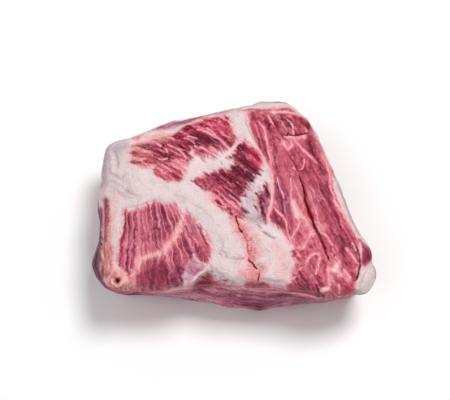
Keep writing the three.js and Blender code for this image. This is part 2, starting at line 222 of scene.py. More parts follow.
# Pale lines of gristle between the muscles: points and width (mm).
seams = {
    "long": ([(17, 57), (20.5, 53), (23, 49), (23.5, 43), (25, 38), (26, 30), (27, 22), (28, 12), (27.3, 0),
              (26.5, -9), (25.5, -15), (25.3, -22)], 1.5),
    "besideWedge": ([(11, 56), (14, 45), (17, 38), (21, 27)], 1.2),
    "branch": ([(26.5, -9), (30, -13), (34, -17), (36.5, -21), (37.5, -26), (37.6, -30), (39.8, -35),
                (40, -42)], 1.3),
    "upBranch": ([(40, -35), (43, -31), (45.5, -26), (46, -21), (44.5, -18)], 1.2),
    "lensEdge": ([(43, -9), (45, -12), (47, -17), (50, -21)], 0.9),
    "lensStalk": ([(40, 12), (41, 4), (40.5, 0), (41, -6)], 1.1),
    "shortLong": ([(31, 12), (33, 4), (36, -5)], 0.8),
    "blockToRim": ([(42, 55), (43.5, 48), (44.2, 41.3), (48, 36.5), (51.7, 32.4), (56.5, 27),
                    (61, 20.5)], 1.5),
    "curl": ([(51, 27), (51.3, 22.5), (50.6, 18.8), (48.6, 18.2)], 0.8),
    "ring": ([(44.5, 18.5), (43, 20), (41.6, 18.5), (43, 17), (44.3, 18.2)], 0.7),
    "zigzag": ([(43, -58), (49, -55.5), (52, -50), (55, -46), (57, -45)], 1.8),
    "zigzagEnd": ([(57, -45), (59, -47), (58.5, -53), (57, -58), (57, -62)], 1.6),
    "padEdge": ([(42, -48), (44, -51), (47, -55)], 1.2),
    "toSlit": ([(47, -43), (50, -40), (52, -35), (54, -30), (57, -28)], 2.0),
    "knobStalk": ([(64.5, -54), (65.5, -62), (65.5, -70)], 1.5),
    "outerShort": ([(63, -31), (66, -34), (69, -40)], 1.6),
    "outerShortTwo": ([(58, -12), (60, -20), (62, -27)], 0.8),
    "spotUp": ([(71, -47), (72.5, -51), (73, -54)], 1.5),
    "spotTail": ([(75, -56), (78, -61), (80, -64)], 1.3),
    "cornerShort": ([(72, -67), (71.5, -75)], 1.4),
    "rimInner": ([(70, -5), (73, -10), (76, -16)], 1.0),
    "rimOuter": ([(72, 4), (76, -4), (80, -13), (86, -24)], 1.0),
    "slitLip": ([(25, 62), (27, 56), (29, 53), (33, 50), (35, 46)], 1.4),
    "knotRing": ([(37, 40.5), (36, 38), (38, 35.3), (40, 33.5), (42, 35), (43, 38), (41.5, 40)], 2.0),
    "rim": ([(64, 34), (68, 16), (69.5, 4), (72.5, -7), (76, -14), (80.5, -22), (85, -29), (88, -33)], 1.5),
    "cornerRim": ([(77, -40), (81, -47), (85, -53)], 1.3),
    "cornerRimTwo": ([(81, -37), (84, -45)], 1.0),
    "cornerEdge": ([(84, -55), (84, -60), (83.5, -66), (82, -72)], 1.0),
    "leftMuscleOne": ([(-27, 48.5), (-22, 48.5), (-16, 45), (-12, 42)], 1.2),
    "leftMuscleTwo": ([(-20, 51), (-14, 46), (-10, 42), (-6, 37.5), (-2, 34)], 1.6),
    "leftMuscleThree": ([(-48, 38), (-44, 35.5), (-38, 33), (-35, 29), (-33, 25)], 1.2),
    "leftMuscleFour": ([(-28, 37), (-25, 34.5), (-22, 34.5), (-18, 31), (-13, 28.5)], 1.6),
    "leftMuscleFive": ([(-62, 40.5), (-57, 39), (-51, 35.5)], 1.3),
    "leftMuscleSix": ([(-42, 26), (-38, 23.5), (-32, 21), (-28, 19)], 1.2),
    "leftMuscleSeven": ([(-48.5, 34.5), (-47, 30.5)], 1.1),
    "leftMuscleEight": ([(-72, 35), (-66, 33), (-60, 31)], 1.3),
    "leftMuscleNine": ([(-66, 23), (-60, 22), (-54, 20)], 1.0),
    "leftMuscleTen": ([(-36, 43), (-31, 41), (-27, 37.5)], 0.9),
    "leftMuscleEleven": ([(-17, 36), (-14, 33), (-10, 29.5)], 1.2),
    "leftMuscleTwelve": ([(-54, 26), (-50, 25.5), (-46, 27.5)], 1.0),
    "leftMuscleThirteen": ([(-33, 44), (-29, 42.5), (-25, 41)], 0.8),
    "leftMuscleFourteen": ([(-40, 20), (-35, 17), (-33, 14)], 0.9),
    "leftMuscleFifteen": ([(-52, 21), (-47, 19), (-43, 15)], 1.0),
    "leftMuscleSixteen": ([(-72, 27), (-67, 26), (-62, 26.5)], 1.2),
    "centreOne": ([(-8, -1), (-3, -7), (3, -14)], 0.7),
    "centreTwo": ([(-3, -1), (3, -7), (6, -12)], 0.6),
    "fringeOne": ([(38, -60), (33, -66), (28, -71)], 0.9),
    "fringeTwo": ([(44, -62), (38, -65), (35, -70)], 0.8),
    "wallTwo": ([(12, -72.5), (22, -73.5), (36, -75), (50, -76.5), (62, -78)], 1.0),
}

# Wide soft bands of fat that run into the lean on both sides: points, reach (mm) and strength.
bands = {
    "ribs": ([(-35, -14), (-36, -22), (-38.5, -30), (-43, -37), (-48, -43), (-54, -46.5), (-62, -48.5),
              (-66, -54), (-68, -61), (-69, -68)], 4.6, 1.0),
    "cream": ([(-73, 39), (-64, 41), (-56, 43.5), (-49, 46.5), (-40, 48.5)], 4.8, 1.1),
    "leftEnd": ([(-76, 34), (-68, 33), (-60, 30)], 3.0, 0.9),
    "leftEndTwo": ([(-77, 27), (-66, 25)], 2.8, 0.8),
    "leftEndThree": ([(-74, 21), (-60, 19)], 2.4, 0.8),
    "vessel": ([(-76, -66), (-76.6, -63.6), (-79.5, -62.2), (-82.4, -63.6), (-83, -66), (-81, -68.6),
                (-78, -68.6), (-76, -66)], 1.8, 1.0),
    "stripLight": ([(-88.6, -38), (-88, -58)], 2.4, 0.6),
    "slitLeft": ([(47, 6), (49, -5), (53, -20)], 3.0, 0.25),
    "spot": ([(66.5, -58), (70, -57), (72, -52), (71, -57), (73.5, -61)], 4.0, 1.0),
    "lens": ([(42, -8), (43.5, -13), (45, -18)], 3.0, 1.15),
    "slitLipRight": ([(52, 6), (55, -5), (57, -14), (60, -24), (62, -31)], 3.2, 0.45),
    "foldTop": ([(54, -28), (55, -32)], 3.0, 0.9),
    "pocket": ([(39, 42.6), (45, 41.6), (51, 43)], 4.0, 0.85),
    "knot": ([(39, 38), (40, 36)], 3.0, 0.6),
    "knobTop": ([(61, -72), (63.4, -71.4)], 3.0, 1.1),
    "blockTop": ([(20, 63), (34, 63.5), (48, 61), (58, 52), (62, 45), (66, 33)], 2.2, 0.5),
    "cornerFront": ([(62, -76), (72, -76.5), (82, -74)], 2.0, 0.45),
    "lobeStrip": ([(88.5, -37), (88.5, -49)], 1.8, 0.8),
}

# Splits and creases: points, half the width over which they redden (mm), how red (0 to 1) and
# the depth of the groove (0 to 1). Their dark red is partly the red flesh and partly painted shade in the
# groove.
creases = {
    "longSlit": ([(38.5, 32), (44, 21), (47.5, 11), (50, 0), (50.5, -6), (53.5, -15), (57, -25), (60, -33),
                  (64, -43), (66.5, -53)], 1.8, 1.0, 0.6),
    "upperSlit": ([(27, 61), (30.5, 53), (34.5, 46), (37.5, 41)], 1.4, 0.7, 0.6),
    "fissure": ([(1.6, -17.5), (3, -24), (4.8, -28.5), (7.4, -32.5), (9.6, -39), (10.5, -45), (11.6, -50.5),
                 (15.6, -55.4), (17.8, -60), (17.4, -63.5), (16, -66)], 0.8, 0.5, 0.4),
    "fissureOpenOne": ([(1.4, -17), (2.5, -21), (3.4, -25), (4.8, -28.6), (6.4, -30.6)], 1.3, 0.95, 0.6),
    "fissureOpenTwo": ([(11, -49), (11.4, -51), (14, -53), (15.2, -55.8), (17.2, -57.6)], 1.1, 1.0, 0.8),
    "fissureOpenThree": ([(18, -60), (17.8, -62), (16.4, -65.4)], 1.3, 0.9, 0.6),
    # painted shadow cast by the block's front edge onto the fat below it, in a real groove
    "blockEdgeShadow": ([(37, 45.5), (45, 45), (55, 46.5)], 1.4, 0.9, 0.6),
    "cornerCrease": ([(83, -35), (86.5, -44), (87, -54), (84, -66)], 1.4, 0.8, 0.6),
    # painted shadow: dark crescent below the knob, in a real groove
    "knobShadow": ([(57, -67), (57.5, -71), (59, -74.5), (63, -77)], 1.1, 0.9, 0.6),
    "knobTop": ([(58.5, -68.5), (60.5, -69), (62.5, -70)], 0.6, 0.6, 0.5),
    "lobeDark": ([(90, -44), (90.5, -50), (91, -53)], 1.6, 0.45, 0.4),
    "spotDark": ([(66, -58), (66.5, -61)], 1.0, 0.35, 0.3),
    "marbleOne": ([(-25, 23.5), (-22, 21)], 0.8, 0.4, 0.3),
    "marbleTwo": ([(-10, 24), (-7, 21)], 1.4, 0.55, 0.3),
    "marbleThree": ([(-29, 19), (-25.5, 18)], 0.8, 0.4, 0.3),
    "marbleFour": ([(-3, 28), (1, 26), (4.5, 24)], 1.5, 0.6, 0.3),
    "marbleFive": ([(-17, 16.5), (-12, 17), (-8, 16)], 1.0, 0.4, 0.3),
    "lensDark": ([(45, -6), (48, -8)], 0.6, 0.5, 0.3),
    "foldShade": ([(53.5, -34), (51.5, -38), (50, -41.5)], 0.7, 0.5, 0.3),
    "zigzagShade": ([(55.5, -48), (53.5, -52), (52, -57)], 0.7, 0.5, 0.3),
    "slitHead": ([(28.5, 57), (32, 53), (33.4, 49), (35, 45), (37, 42)], 0.9, 0.8, 0.7),
    "slitFork": ([(28, 45), (30, 43.5), (32, 42), (35, 38)], 0.8, 0.7, 0.6),
    "knotInside": ([(38.6, 36.6), (39.6, 35.6)], 0.8, 0.7, 0.4),
    "slitSpot": ([(39, 32), (40, 31), (42, 28), (43, 24)], 0.8, 0.6, 0.4),
    "spindle": ([(30, 27), (30.5, 21)], 0.8, 0.5, 0.2),
    "lensLine": ([(14, 65), (22, 65.6), (30, 66.5)], 0.5, 0.5, 0.2),
    "vesselBrow": ([(-83.6, -62.4), (-82, -60.6), (-79, -60), (-76.2, -61)], 0.6, 0.4, 0.4),
    "rimLine": ([(-84, -72.6), (-72, -73.6), (-60, -74)], 0.7, 0.4, 0.3),
    "filmShade": ([(-24.6, -48.4), (-21, -51), (-17.4, -52.8)], 0.8, 0.5, 0.5),
    "filmSpot": ([(-30.4, -48.6), (-28.5, -50.4), (-25.8, -51.6)], 0.6, 0.4, 0.4),
    "sliverDark": ([(17.4, -5), (18, -9), (20.4, -12)], 1.2, 0.3, 0.3),
    "fissureTwigOne": ([(5, -30), (1, -29), (-1, -31)], 0.5, 0.6, 0.3),
    "fissureTwigTwo": ([(9, -37), (15, -37), (19, -41)], 0.4, 0.45, 0.3),
    "fissureTwigThree": ([(11, -46), (15, -44), (16, -40)], 0.4, 0.5, 0.3),
    "fissureTwigFour": ([(13, -52), (8, -50), (-4, -49.5)], 0.45, 0.45, 0.3),
    "fissureTwigFive": ([(10, -42), (5, -41), (3, -43)], 0.4, 0.5, 0.3),
    "fissureTwigSix": ([(16, -55), (20, -52)], 0.5, 0.6, 0.3),
    "darkDashOne": ([(15.4, 0.6), (17.4, -1.8), (19.8, -5)], 0.8, 0.9, 0.2),
    "darkDashTwo": ([(17, 5), (20, 2)], 0.5, 0.7, 0.2),
    "darkDashThree": ([(13, -3), (16, -6)], 0.4, 0.6, 0.2),
    "foldDark": ([(43, -53), (47, -54.5), (50, -54), (47, -58)], 1.0, 0.6, 0.5),
    "foldDarkTwo": ([(42, -64), (47, -66), (52, -65)], 0.9, 0.5, 0.5),
    "strandLine": ([(17, 54), (20, 45), (22, 38), (24, 30), (25, 24)], 0.6, 0.6, 0.3),
    "strandLineTwo": ([(26, 52), (28, 44), (29, 36)], 0.5, 0.5, 0.3),
    "outerLine": ([(70, -22), (74, -32), (77, -42), (80, -50)], 0.6, 0.5, 0.4),
    "outerLineTwo": ([(60, 20), (64, 6), (69, -10)], 0.8, 0.3, 0.3),
}

# Creases in the fat, which only turn it grey: painted shade in the crease and along the edges where the fat
# turns away, except the stain and foot marks, which are grey specks of the fat itself. Points, half width (mm),
# how grey and how deep (0 to 1).
furrows = {
    "leftOne": ([(-90, 9), (-81, 6), (-73, 0), (-67, -2)], 0.9, 0.5, 0.5),
    "leftTwo": ([(-82, 2), (-80, -2), (-74, -6)], 0.8, 0.4, 0.4),
    "leftThree": ([(-91, 22), (-84, 12), (-78, 12)], 1.0, 0.3, 0.4),
    "leftFold": ([(-86, 33), (-84, 26), (-82.2, 19)], 0.9, 0.55, 0.7),
    "leftFoldTwo": ([(-90.4, 30), (-88.6, 22), (-87, 15)], 0.9, 0.5, 0.5),
    "leftFour": ([(-92, 6), (-84, 3), (-76, -3), (-70, -4)], 0.7, 0.45, 0.3),
    "ribTop": ([(-76, -10.5), (-66, -9.5), (-58, -6), (-50, -6.5)], 0.8, 0.5, 0.4),
    "pad": ([(20, -27.8), (24, -31), (26.4, -32.6), (31, -34.6)], 0.9, 1.2, 0.8),
    "padTwo": ([(16, -23.6), (18.4, -25), (20.4, -27)], 0.7, 1.0, 0.5),
    "padThree": ([(22, -41.5), (23.5, -44), (26, -45.5)], 0.7, 0.4, 0.3),
    "padFour": ([(1.4, -38), (2.6, -36)], 0.7, 0.45, 0.2),
    "wedgeEdge": ([(10, 60), (10.5, 52), (13, 46), (14.5, 42)], 0.6, 0.6, 0.3),
    "bigOne": ([(-30, -8), (-20, -14), (-12, -24)], 0.8, 0.25, 0.4),
    "bigTwo": ([(-44, -2), (-34, -4), (-27, -10)], 0.8, 0.25, 0.3),
    "bigThree": ([(-12, -30), (-8, -38), (-9, -45)], 0.8, 0.3, 0.4),
    "bigFour": ([(-9, -43), (-6, -45), (-4, -49)], 0.9, 0.6, 0.4),
    "bigFive": ([(-3, -48), (2, -49.5), (7, -49)], 0.6, 0.6, 0.4),
    "bigSix": ([(-13, -57), (-8, -62), (-4, -66)], 1.2, 0.5, 0.4),
    "footOne": ([(-15, -57), (-13.4, -58.6)], 0.9, 0.9, 0.4),
    "footTwo": ([(-12.8, -61), (-11.6, -63)], 0.9, 0.9, 0.4),
    "footThree": ([(-10, -62), (-8.4, -63.6)], 0.7, 0.8, 0.3),
    "footFour": ([(-8, -66.4), (-6, -67.4)], 0.9, 0.9, 0.4),
    "footFive": ([(-4.4, -64.6), (-2.6, -66)], 0.7, 0.8, 0.3),
    "stainOne": ([(-10, -45), (-8, -47.4)], 0.9, 0.8, 0.3),
    "stainTwo": ([(-5.8, -47), (-4.4, -48.4)], 0.7, 0.8, 0.2),
    "stainThree": ([(5.6, -49.6), (7.4, -50)], 0.7, 0.9, 0.3),
    "padFoot": ([(18, -64), (28, -66), (36, -66)], 1.2, 0.5, 0.4),
    "backEdge": ([(-92, 34), (-85, 40), (-72, 45.5)], 1.2, 0.6, 0.2),
    "backEdgeTwo": ([(-36, 57.5), (-20, 62), (-3, 65.5), (8, 67.6)], 1.1, 0.6, 0.2),
    "skinEdge": ([(0, 67), (16, 71), (34, 73)], 1.6, 0.6, 0.2),
    "rightSide": ([(73.4, 12), (77.2, 0), (80.6, -11), (83.8, -21), (87, -27.6), (90, -32)], 1.2, 1.1, 0.2),
    "flapLine": ([(86, -72), (89, -62), (93, -56)], 0.8, 0.4, 0.3),
}

# Places where the look changes: a line, its reach (mm), and what is added there. The grey-mauve amount
# adds grey that is in part painted shade, where the fat rounds away at the left and back edges, at the
# front-left corner, by the left fold and under the flap, and in part the own grey of fat and lean; below 0
# it makes places whiter, mostly the own white of fat and silver skin, but a painted highlight on the left
# fold's ridge and on the flap.
shades = [
    ([(-73, 31), (-62, 27)], 13, {"dark": -0.09, "warm": 0.55, "feather": 0.3, "grain": -0.5}),
    ([(-73, 37), (-60, 36)], 4, {"dark": 0.26, "warm": 0.1}),
    ([(-74, 31), (-66, 29)], 5, {"dark": -0.1, "grain": -0.2}),
    ([(-66, 24.5), (-56, 24)], 3, {"dark": 0.2}),
    ([(-50, 29), (-46, 28)], 5, {"dark": 0.25}),
    ([(-71, 39), (-60, 41), (-50, 44)], 7, {"dark": -0.26, "warm": 0.6, "grain": -0.6}),
    ([(-50, 33), (-34, 35), (-24, 43)], 9, {"dark": 0.16, "warm": -0.1, "blush": 0.35}),
    ([(-28, 41), (-12, 39)], 6, {"dark": 0.26, "warm": -0.1}),
    ([(-40, 36), (-33, 34)], 5, {"dark": 0.14}),
    ([(-52, 17), (-40, 14)], 8, {"dark": -0.14, "warm": 0.2, "pale": 0.1, "grain": -0.5, "blush": 0.2}),
    ([(-24, 55), (-5, 50)], 10, {"dark": -0.12, "pale": 0.05, "grain": -0.3, "blush": 0.45}),
    ([(-24, 26), (-10, 26)], 8, {"feather": 1.6}),
    ([(-12, 14), (0, 14), (6, 10)], 9, {"dark": 0.24, "pale": -0.2}),
    ([(3, 36), (10, 26)], 5, {"dark": 0.04, "pale": 0.3}),
    ([(14, 31), (18, 23)], 7, {"dark": -0.06, "pale": -0.8, "grain": -0.7, "blush": 0.8}),
    ([(-8, 31), (-28, 20)], 7, {"dusk": -0.15}),
    ([(2, 58), (5, 46)], 6, {"dusk": 0.06}),
    ([(-89.5, -6), (-89.4, -20), (-89, -34)], 4, {"dusk": 0.35, "dark": 0.1}),
    ([(36, 50), (50, 56)], 10, {"dark": 0.12}),
    ([(44, -66), (58, -70)], 9, {"dark": 0.16, "dusk": 0.15}),
    ([(20, 50), (24, 30)], 6, {"dark": 0.08}),
    ([(-60, -64), (-40, -64)], 9, {"dusk": 0.16}),
    ([(46, -33), (45, -38)], 4, {"dark": 0.26}),
    ([(49, -30), (50, -26)], 4, {"dark": -0.06}),
    ([(47, -16), (52, -24)], 4, {"dark": -0.1, "warm": 0.5}),
    ([(46, -46), (48, -49)], 4, {"dark": 0.08}),
    ([(72, -17), (74, -19)], 4, {"dark": 0.16}),
    ([(75, -66), (80, -72)], 6, {"dark": 0.14}),
    # painted shadow: grey along the foot of the flap
    ([(84, -74), (90, -76)], 3.5, {"dusk": 0.8}),
    ([(-16, -3), (2, -15)], 8, {"dark": -0.52, "warm": 0.1, "pale": 0.1, "feather": 1.0, "blush": 0.3}),
    ([(14, 12), (12, -8), (16, -18)], 8, {"feather": 3.5, "warm": -0.5}),
    ([(-64, -62), (-48, -62)], 12, {"dark": 0.18, "warm": 0.3, "pale": -0.2, "ribs": -0.8, "grain": -0.25}),
    ([(-74, -64), (-68, -70)], 6, {"dark": -0.2, "warm": 0.7, "pale": 0.2, "ribs": -0.8}),
    ([(-48, -60), (-30, -56)], 10, {"dark": 0.16, "warm": -0.1, "pale": -0.2, "ribs": -0.6}),
    ([(-24, -44), (-18, -46)], 7, {"dark": 0.02, "pale": -0.4, "ribs": -0.8}),
    ([(-30, -26), (-23, -40)], 9, {"dark": -0.1}),
    ([(-38, -30), (-48, -42), (-60, -46)], 9, {"dark": -0.12, "warm": 0.35, "pale": 0.2}),
    ([(14, 60), (20, 57)], 5, {"dark": 0.26, "warm": 0.1}),
    ([(17, 45), (20, 36)], 4, {"dark": 0.1, "pale": 0.2}),
    ([(29, -14), (34, -26)], 6, {"dark": 0.28, "warm": -0.1, "pale": -0.4, "grain": -0.4, "blush": 0.25}),
    ([(31, 6), (37, -14)], 6, {"dark": 0.16, "warm": -0.4}),
    ([(45, -46), (50, -50)], 5, {"dark": -0.1, "warm": 0.15, "pale": -0.2}),
    ([(56, 30), (62, 10), (70, -18), (78, -44)], 7, {"dark": 0.12, "warm": -0.1}),
    ([(52, 12), (57, -8), (64, -28)], 4, {"dark": -0.14, "warm": 0.1}),
    ([(46, 8), (49, -6), (54, -22)], 5, {"dark": -0.08, "warm": 0.1}),
    ([(56, 42), (58, 34)], 4, {"dark": 0.18, "warm": -0.2}),
    ([(4, -50), (14, -50)], 9, {"warm": 0.6}),
    ([(10, -24), (18, -44)], 10, {"warm": 0.5}),
    ([(1, -20), (5, -30), (10, -40), (12, -48)], 7, {"blush": 0.85}),
    ([(8, -26), (14, -36), (16, -44)], 8, {"blush": 0.5}),
    ([(12, -54), (17, -62), (20, -56)], 6, {"blush": 0.8}),
    ([(7, -61), (14, -65)], 7, {"blush": 0.7}),
    ([(-20, -40), (0, -50)], 12, {"warm": 0.3}),
    ([(20, -24), (25, -25), (31, -30)], 3.4, {"warm": -0.5}),
    # painted light: the flap faces away from the lamps and is made whiter
    ([(92, -58), (95, -66), (90, -74)], 9, {"dusk": -0.1}),
    ([(75, 0), (79, -13), (85, -27)], 3, {"dusk": -0.25}),
    ([(3, 60), (5, 50)], 6, {"feather": -1.6}),
    ([(-74, -38), (-50, -36)], 12, {"ribs": -0.35}),
    ([(-84.5, -16), (-82.5, -50)], 4, {"dusk": 0.2, "warm": -0.1}),
    ([(44, -20), (52, -30), (48, -36)], 6, {"dark": -0.06}),
    ([(30, -40), (36, -50), (34, -60)], 9, {"warm": 0.4, "blush": 0.1}),
    # painted shade: grey-lilac where the fat rounds away at the left edge and the back-left corner
    ([(-95, 30), (-93, 5), (-93, -5)], 15, {"warm": -0.8, "dusk": 0.35}),
    ([(-84, 34), (-78, 36)], 7, {"warm": -1.0, "dusk": 0.4}),
    ([(-60, 44), (-50, 45)], 6, {"warm": 0.8}),
    ([(13, 0), (14, -20)], 8, {"warm": -0.3, "dusk": 0.1}),
    ([(-8, -62), (-2, -66)], 6, {"dusk": 0.35, "feather": 1.5}),
    # painted shade: grey at the front-left corner, where the surface turns down
    ([(-92, -66), (-88, -74)], 5, {"dusk": 0.5, "warm": -0.6}),
    ([(40, -76), (60, -78)], 4, {"dark": 0.2}),
    ([(42, -7), (43.5, -13), (46, -18)], 3.4, {"dusk": -0.42}),
    ([(69, -57.5), (71, -55.5)], 4.2, {"dusk": -0.35}),
    ([(61, -71.6), (63.5, -71.2)], 3.0, {"dusk": -0.45}),
    ([(-18.6, -57.6), (-22, -59.6), (-25, -63.4), (-28.4, -68)], 2.8, {"dusk": -0.38}),
    ([(-27.5, -46.5), (-26.6, -49), (-22, -52), (-17, -54.5)], 2.0, {"dusk": -0.5}),
    ([(-36, -62), (-33.5, -65), (-33, -69)], 1.6, {"dusk": -0.35}),
    ([(-27, -53.5), (-19, -55)], 2.4, {"dusk": -0.2}),
    ([(40, 42.4), (45, 41.8)], 4.0, {"dusk": -0.2}),
    ([(-88, -40), (-87.5, -58)], 5, {"dark": -0.2}),
    ([(-87, 9), (-77, 5)], 10, {"warm": -0.9}),
    ([(-14, -57), (-8, -62), (-2, -66)], 5, {"feather": 2.0}),
    # painted shade: the left wall made grey
    ([(-95, -16), (-96, -34)], 5, {"dark": -0.2, "dusk": 0.3}),
    # painted shade on the grey rim of the front-left corner
    ([(-92, -65), (-85, -73)], 2.6, {"dusk": 0.5}),
    ([(-79.8, -65.2), (-79.2, -65.8)], 1.8, {"warm": 1.0, "dark": -0.1}),
    ([(20, -34), (30, -44), (34, -56)], 14, {"warm": 0.35}),
    ([(29, -19), (32, -25)], 4, {"dark": 0.14}),
    ([(32, -31), (36, -36), (39, -42), (41, -47)], 4.4, {"dark": 0.34, "feather": -0.6, "warm": -0.2}),
    ([(34, -4), (38, -12), (41, -20)], 4, {"dark": 0.14}),
    ([(5, -10), (9, -18)], 4, {"dusk": 0.45}),
    ([(13, -21), (20, -22)], 4.5, {"dusk": 0.45}),
    ([(21, -25.6), (25, -27.4), (29, -31)], 3.2, {"dusk": -0.6}),
    ([(40, -52), (39, -60)], 3, {"feather": -0.6}),
    ([(-72, 24), (-58, 16), (-46, 10), (-36, 12)], 6, {"feather": -0.8}),
    ([(-52, 45), (-40, 48), (-26, 56)], 5, {"feather": -0.6}),
    # painted shade at the left edge beside the fold, then a painted highlight along the fold's ridge
    ([(-91.5, 34), (-92.5, 18), (-92.5, 6)], 6, {"dusk": 0.4}),
    ([(-88.4, 32), (-86, 22), (-84.4, 16)], 2.4, {"dusk": -0.35}),
    # painted shade where the back strip turns down to the back
    ([(-58, 52), (-44, 54), (-30, 59)], 5, {"dusk": 0.45}),
]

# The same for the foot of the front wall, where the notch runs down; the first line darkens its foot as painted
# shade.
wallShades = [
    ([(-27, -68), (-20, -65), (-10, -68.5), (8, -70)], 6, {"dark": 0.2, "warm": 0.3, "pale": -0.3}),
    ([(-60, -76), (-30, -78)], 5, {"dark": -0.06}),
    ([(8, -81), (16, -83)], 6, {"dark": 0.3}),
]

# Small knobs that stand up: place, radius and height (mm).
knobs = {
    "knot": ((38.2, 38.6), 2.0, 1.1),
    "knotLow": ((39.6, 35.6), 1.5, 0.8),
    "smallRing": ((48, -4), 1.8, 0.5),
    "padFringe": ((40, -66), 1.6, 0.6),
    "spot": ((70, -57), 4.0, 0.5),
    "knob": ((61.5, -71.5), 2.6, 0.8),
}


def place(line):
    return np.array(line, float) + chart["centre"]


def rounded(line, closed, cuts=3):
    # a smooth line through the points
    points = place(line)
    last = len(points) - 1
    smooth = []
    for i in range(last + 1 if closed else last):
        around = [(i + k) % (last + 1) if closed else min(max(i + k, 0), last) for k in (-1, 0, 1, 2)]
        a, b, c, d = points[around]
        for step in range(cuts):
            t = step / cuts
            smooth.append(0.5 * (2 * b + (c - a) * t + (2 * a - 5 * b + 4 * c - d) * t * t
                                 + (3 * b - a - 3 * c + d) * t ** 3))
    if not closed:
        smooth.append(points[-1])
    return np.array(smooth)


def toSegment(x, y, a, b):
    # distance to a straight piece from a to b, which side of it (by sign) and how far along it (0 to 1)
    run = b - a
    length = float(run @ run) or 1e-9
    share = np.clip(((x - a[0]) * run[0] + (y - a[1]) * run[1]) / length, 0, 1)
    dx, dy = x - a[0] - share * run[0], y - a[1] - share * run[1]
    return np.hypot(dx, dy), run[0] * dy - run[1] * dx, share


def insideOutline(x, y, outline):
    # distance to a closed outline, positive inside
    points = rounded(outline, True)
    nearest = np.full(len(x), farAway)
    inside = np.zeros(len(x), bool)
    for a, b in zip(points, np.roll(points, -1, axis=0)):
        nearest = np.minimum(nearest, toSegment(x, y, a, b)[0])
        if a[1] != b[1]:
            crosses = (a[1] > y) != (b[1] > y)
            inside ^= crosses & (x < (b[0] - a[0]) * (y - a[1]) / (b[1] - a[1]) + a[0])
    return np.where(inside, nearest, -nearest)


def alongLine(x, y, line):
    # distance to an open line, the same with its side as sign, and how far along it (0 to 1)
    points = rounded(line, False)
    nearest = np.full(len(x), farAway)
    signed = np.zeros(len(x))
    where = np.zeros(len(x))
    for i in range(len(points) - 1):
        distance, side, share = toSegment(x, y, points[i], points[i + 1])
        closer = distance < nearest
        nearest = np.where(closer, distance, nearest)
        signed = np.where(closer, np.where(side < 0, -distance, distance), signed)
        where = np.where(closer, (i + share) / (len(points) - 1), where)
    return nearest, signed, where


def ease(value, low, high):
    t = np.clip((value - low) / (high - low), 0, 1)
    return t * t * (3 - 2 * t)


def fromEnds(where, low, high):
    # 0 at both ends of a line and 1 between them
    return ease(np.minimum(where, 1 - where), low, high)


def noiseAt(points, size, seed=0.0):
    # smooth noise of about -1 to 1 at every row of points, whose axes are divided by size
    scaled = points / np.array(size) + seed
    return np.array([noise.noise(p) for p in scaled.tolist()])


meat = {
    "voxel": 1.5,  # mm, sides and underside
    "faceFrom": 46.0,  # the finer mesh of the cut face starts at this height (mm)
    "faceTilt": 0.15,  # and takes what looks up by at least this much
    "smoothing": 2,
    "underside": (9, 3),  # heights (mm) between which the walls turn into the underside
    "wallTop": (52, 44),  # heights between which the cut face turns into the walls
    "rimBlend": (3.5, -1.5),  # the same, by distance inside the rim
    "seenWall": (34, 50),  # heights between which the camera starts to see a wall
    "fanLength": 30,  # mm along its fibres over which a muscle fans out by its "fan"
    "ribSpacing": 4.3,
    "groundDepth": 4.0,  # lean ground counts as this far inside a muscle at most (mm)
    "drift": 5,  # mm by which the muscles wander on their way to the underside
    # mm by which the lips of a split close, at each point of its line
    "pinch": {"longSlit": (1.5, 1.3, 1.2, 1.0, 0.8, 0.5, 0.3, 0.3, 0.5, 1.2),
              "fissure": (0.9, 0.9, 0.2, 1.3, 1.3, 1.0, 0.3, 0.2, 1.0, 0.5, 1.0),
              "cornerCrease": (1.2, 1.2, 1.2, 1.2),
              "upperSlit": (1.0, 1.0, 1.0, 1.0),
              "blockEdgeShadow": (0.9, 0.9, 0.9)},
    "pinchReach": 6.0,
    "pastBox": 1.5,  # mm that the relief may reach past the solid's box
    # where the cut face ends
    "rimOutline": [(-94, 41), (-60, 50), (-28, 56.5), (12, 64.5), (48, 64), (59.5, 49), (73, 12), (78, -9),
                   (88, -46), (85.5, -75), (60, -76.5), (44, -69.5), (-8, -67), (-19, -58), (-30, -69),
                   (-57, -71.5), (-85, -71), (-90.5, -45), (-94.5, 5)],
}

# The walls that the camera doesn't see: their look, and the sizes (mm) of what wanders over them.
walls = {
    "look": {"dark": 0.45, "pale": 0.1, "warm": -0.4, "feather": 1.6, "bulge": 0.8, "grain": 0.7, "ribs": 0,
             "dusk": 0, "blush": 0},
    "bundles": (62, 62, 19),
    "smallBundles": (26, 26, 8),
    "tones": (44, 44, 12),
    "films": (45, 45, 16),
    "waves": (42, 42, 90),
    "waveHeight": 9,
    "fatPatch": (6, 40, 6, 9),  # x and z of its middle, half width and half height
}


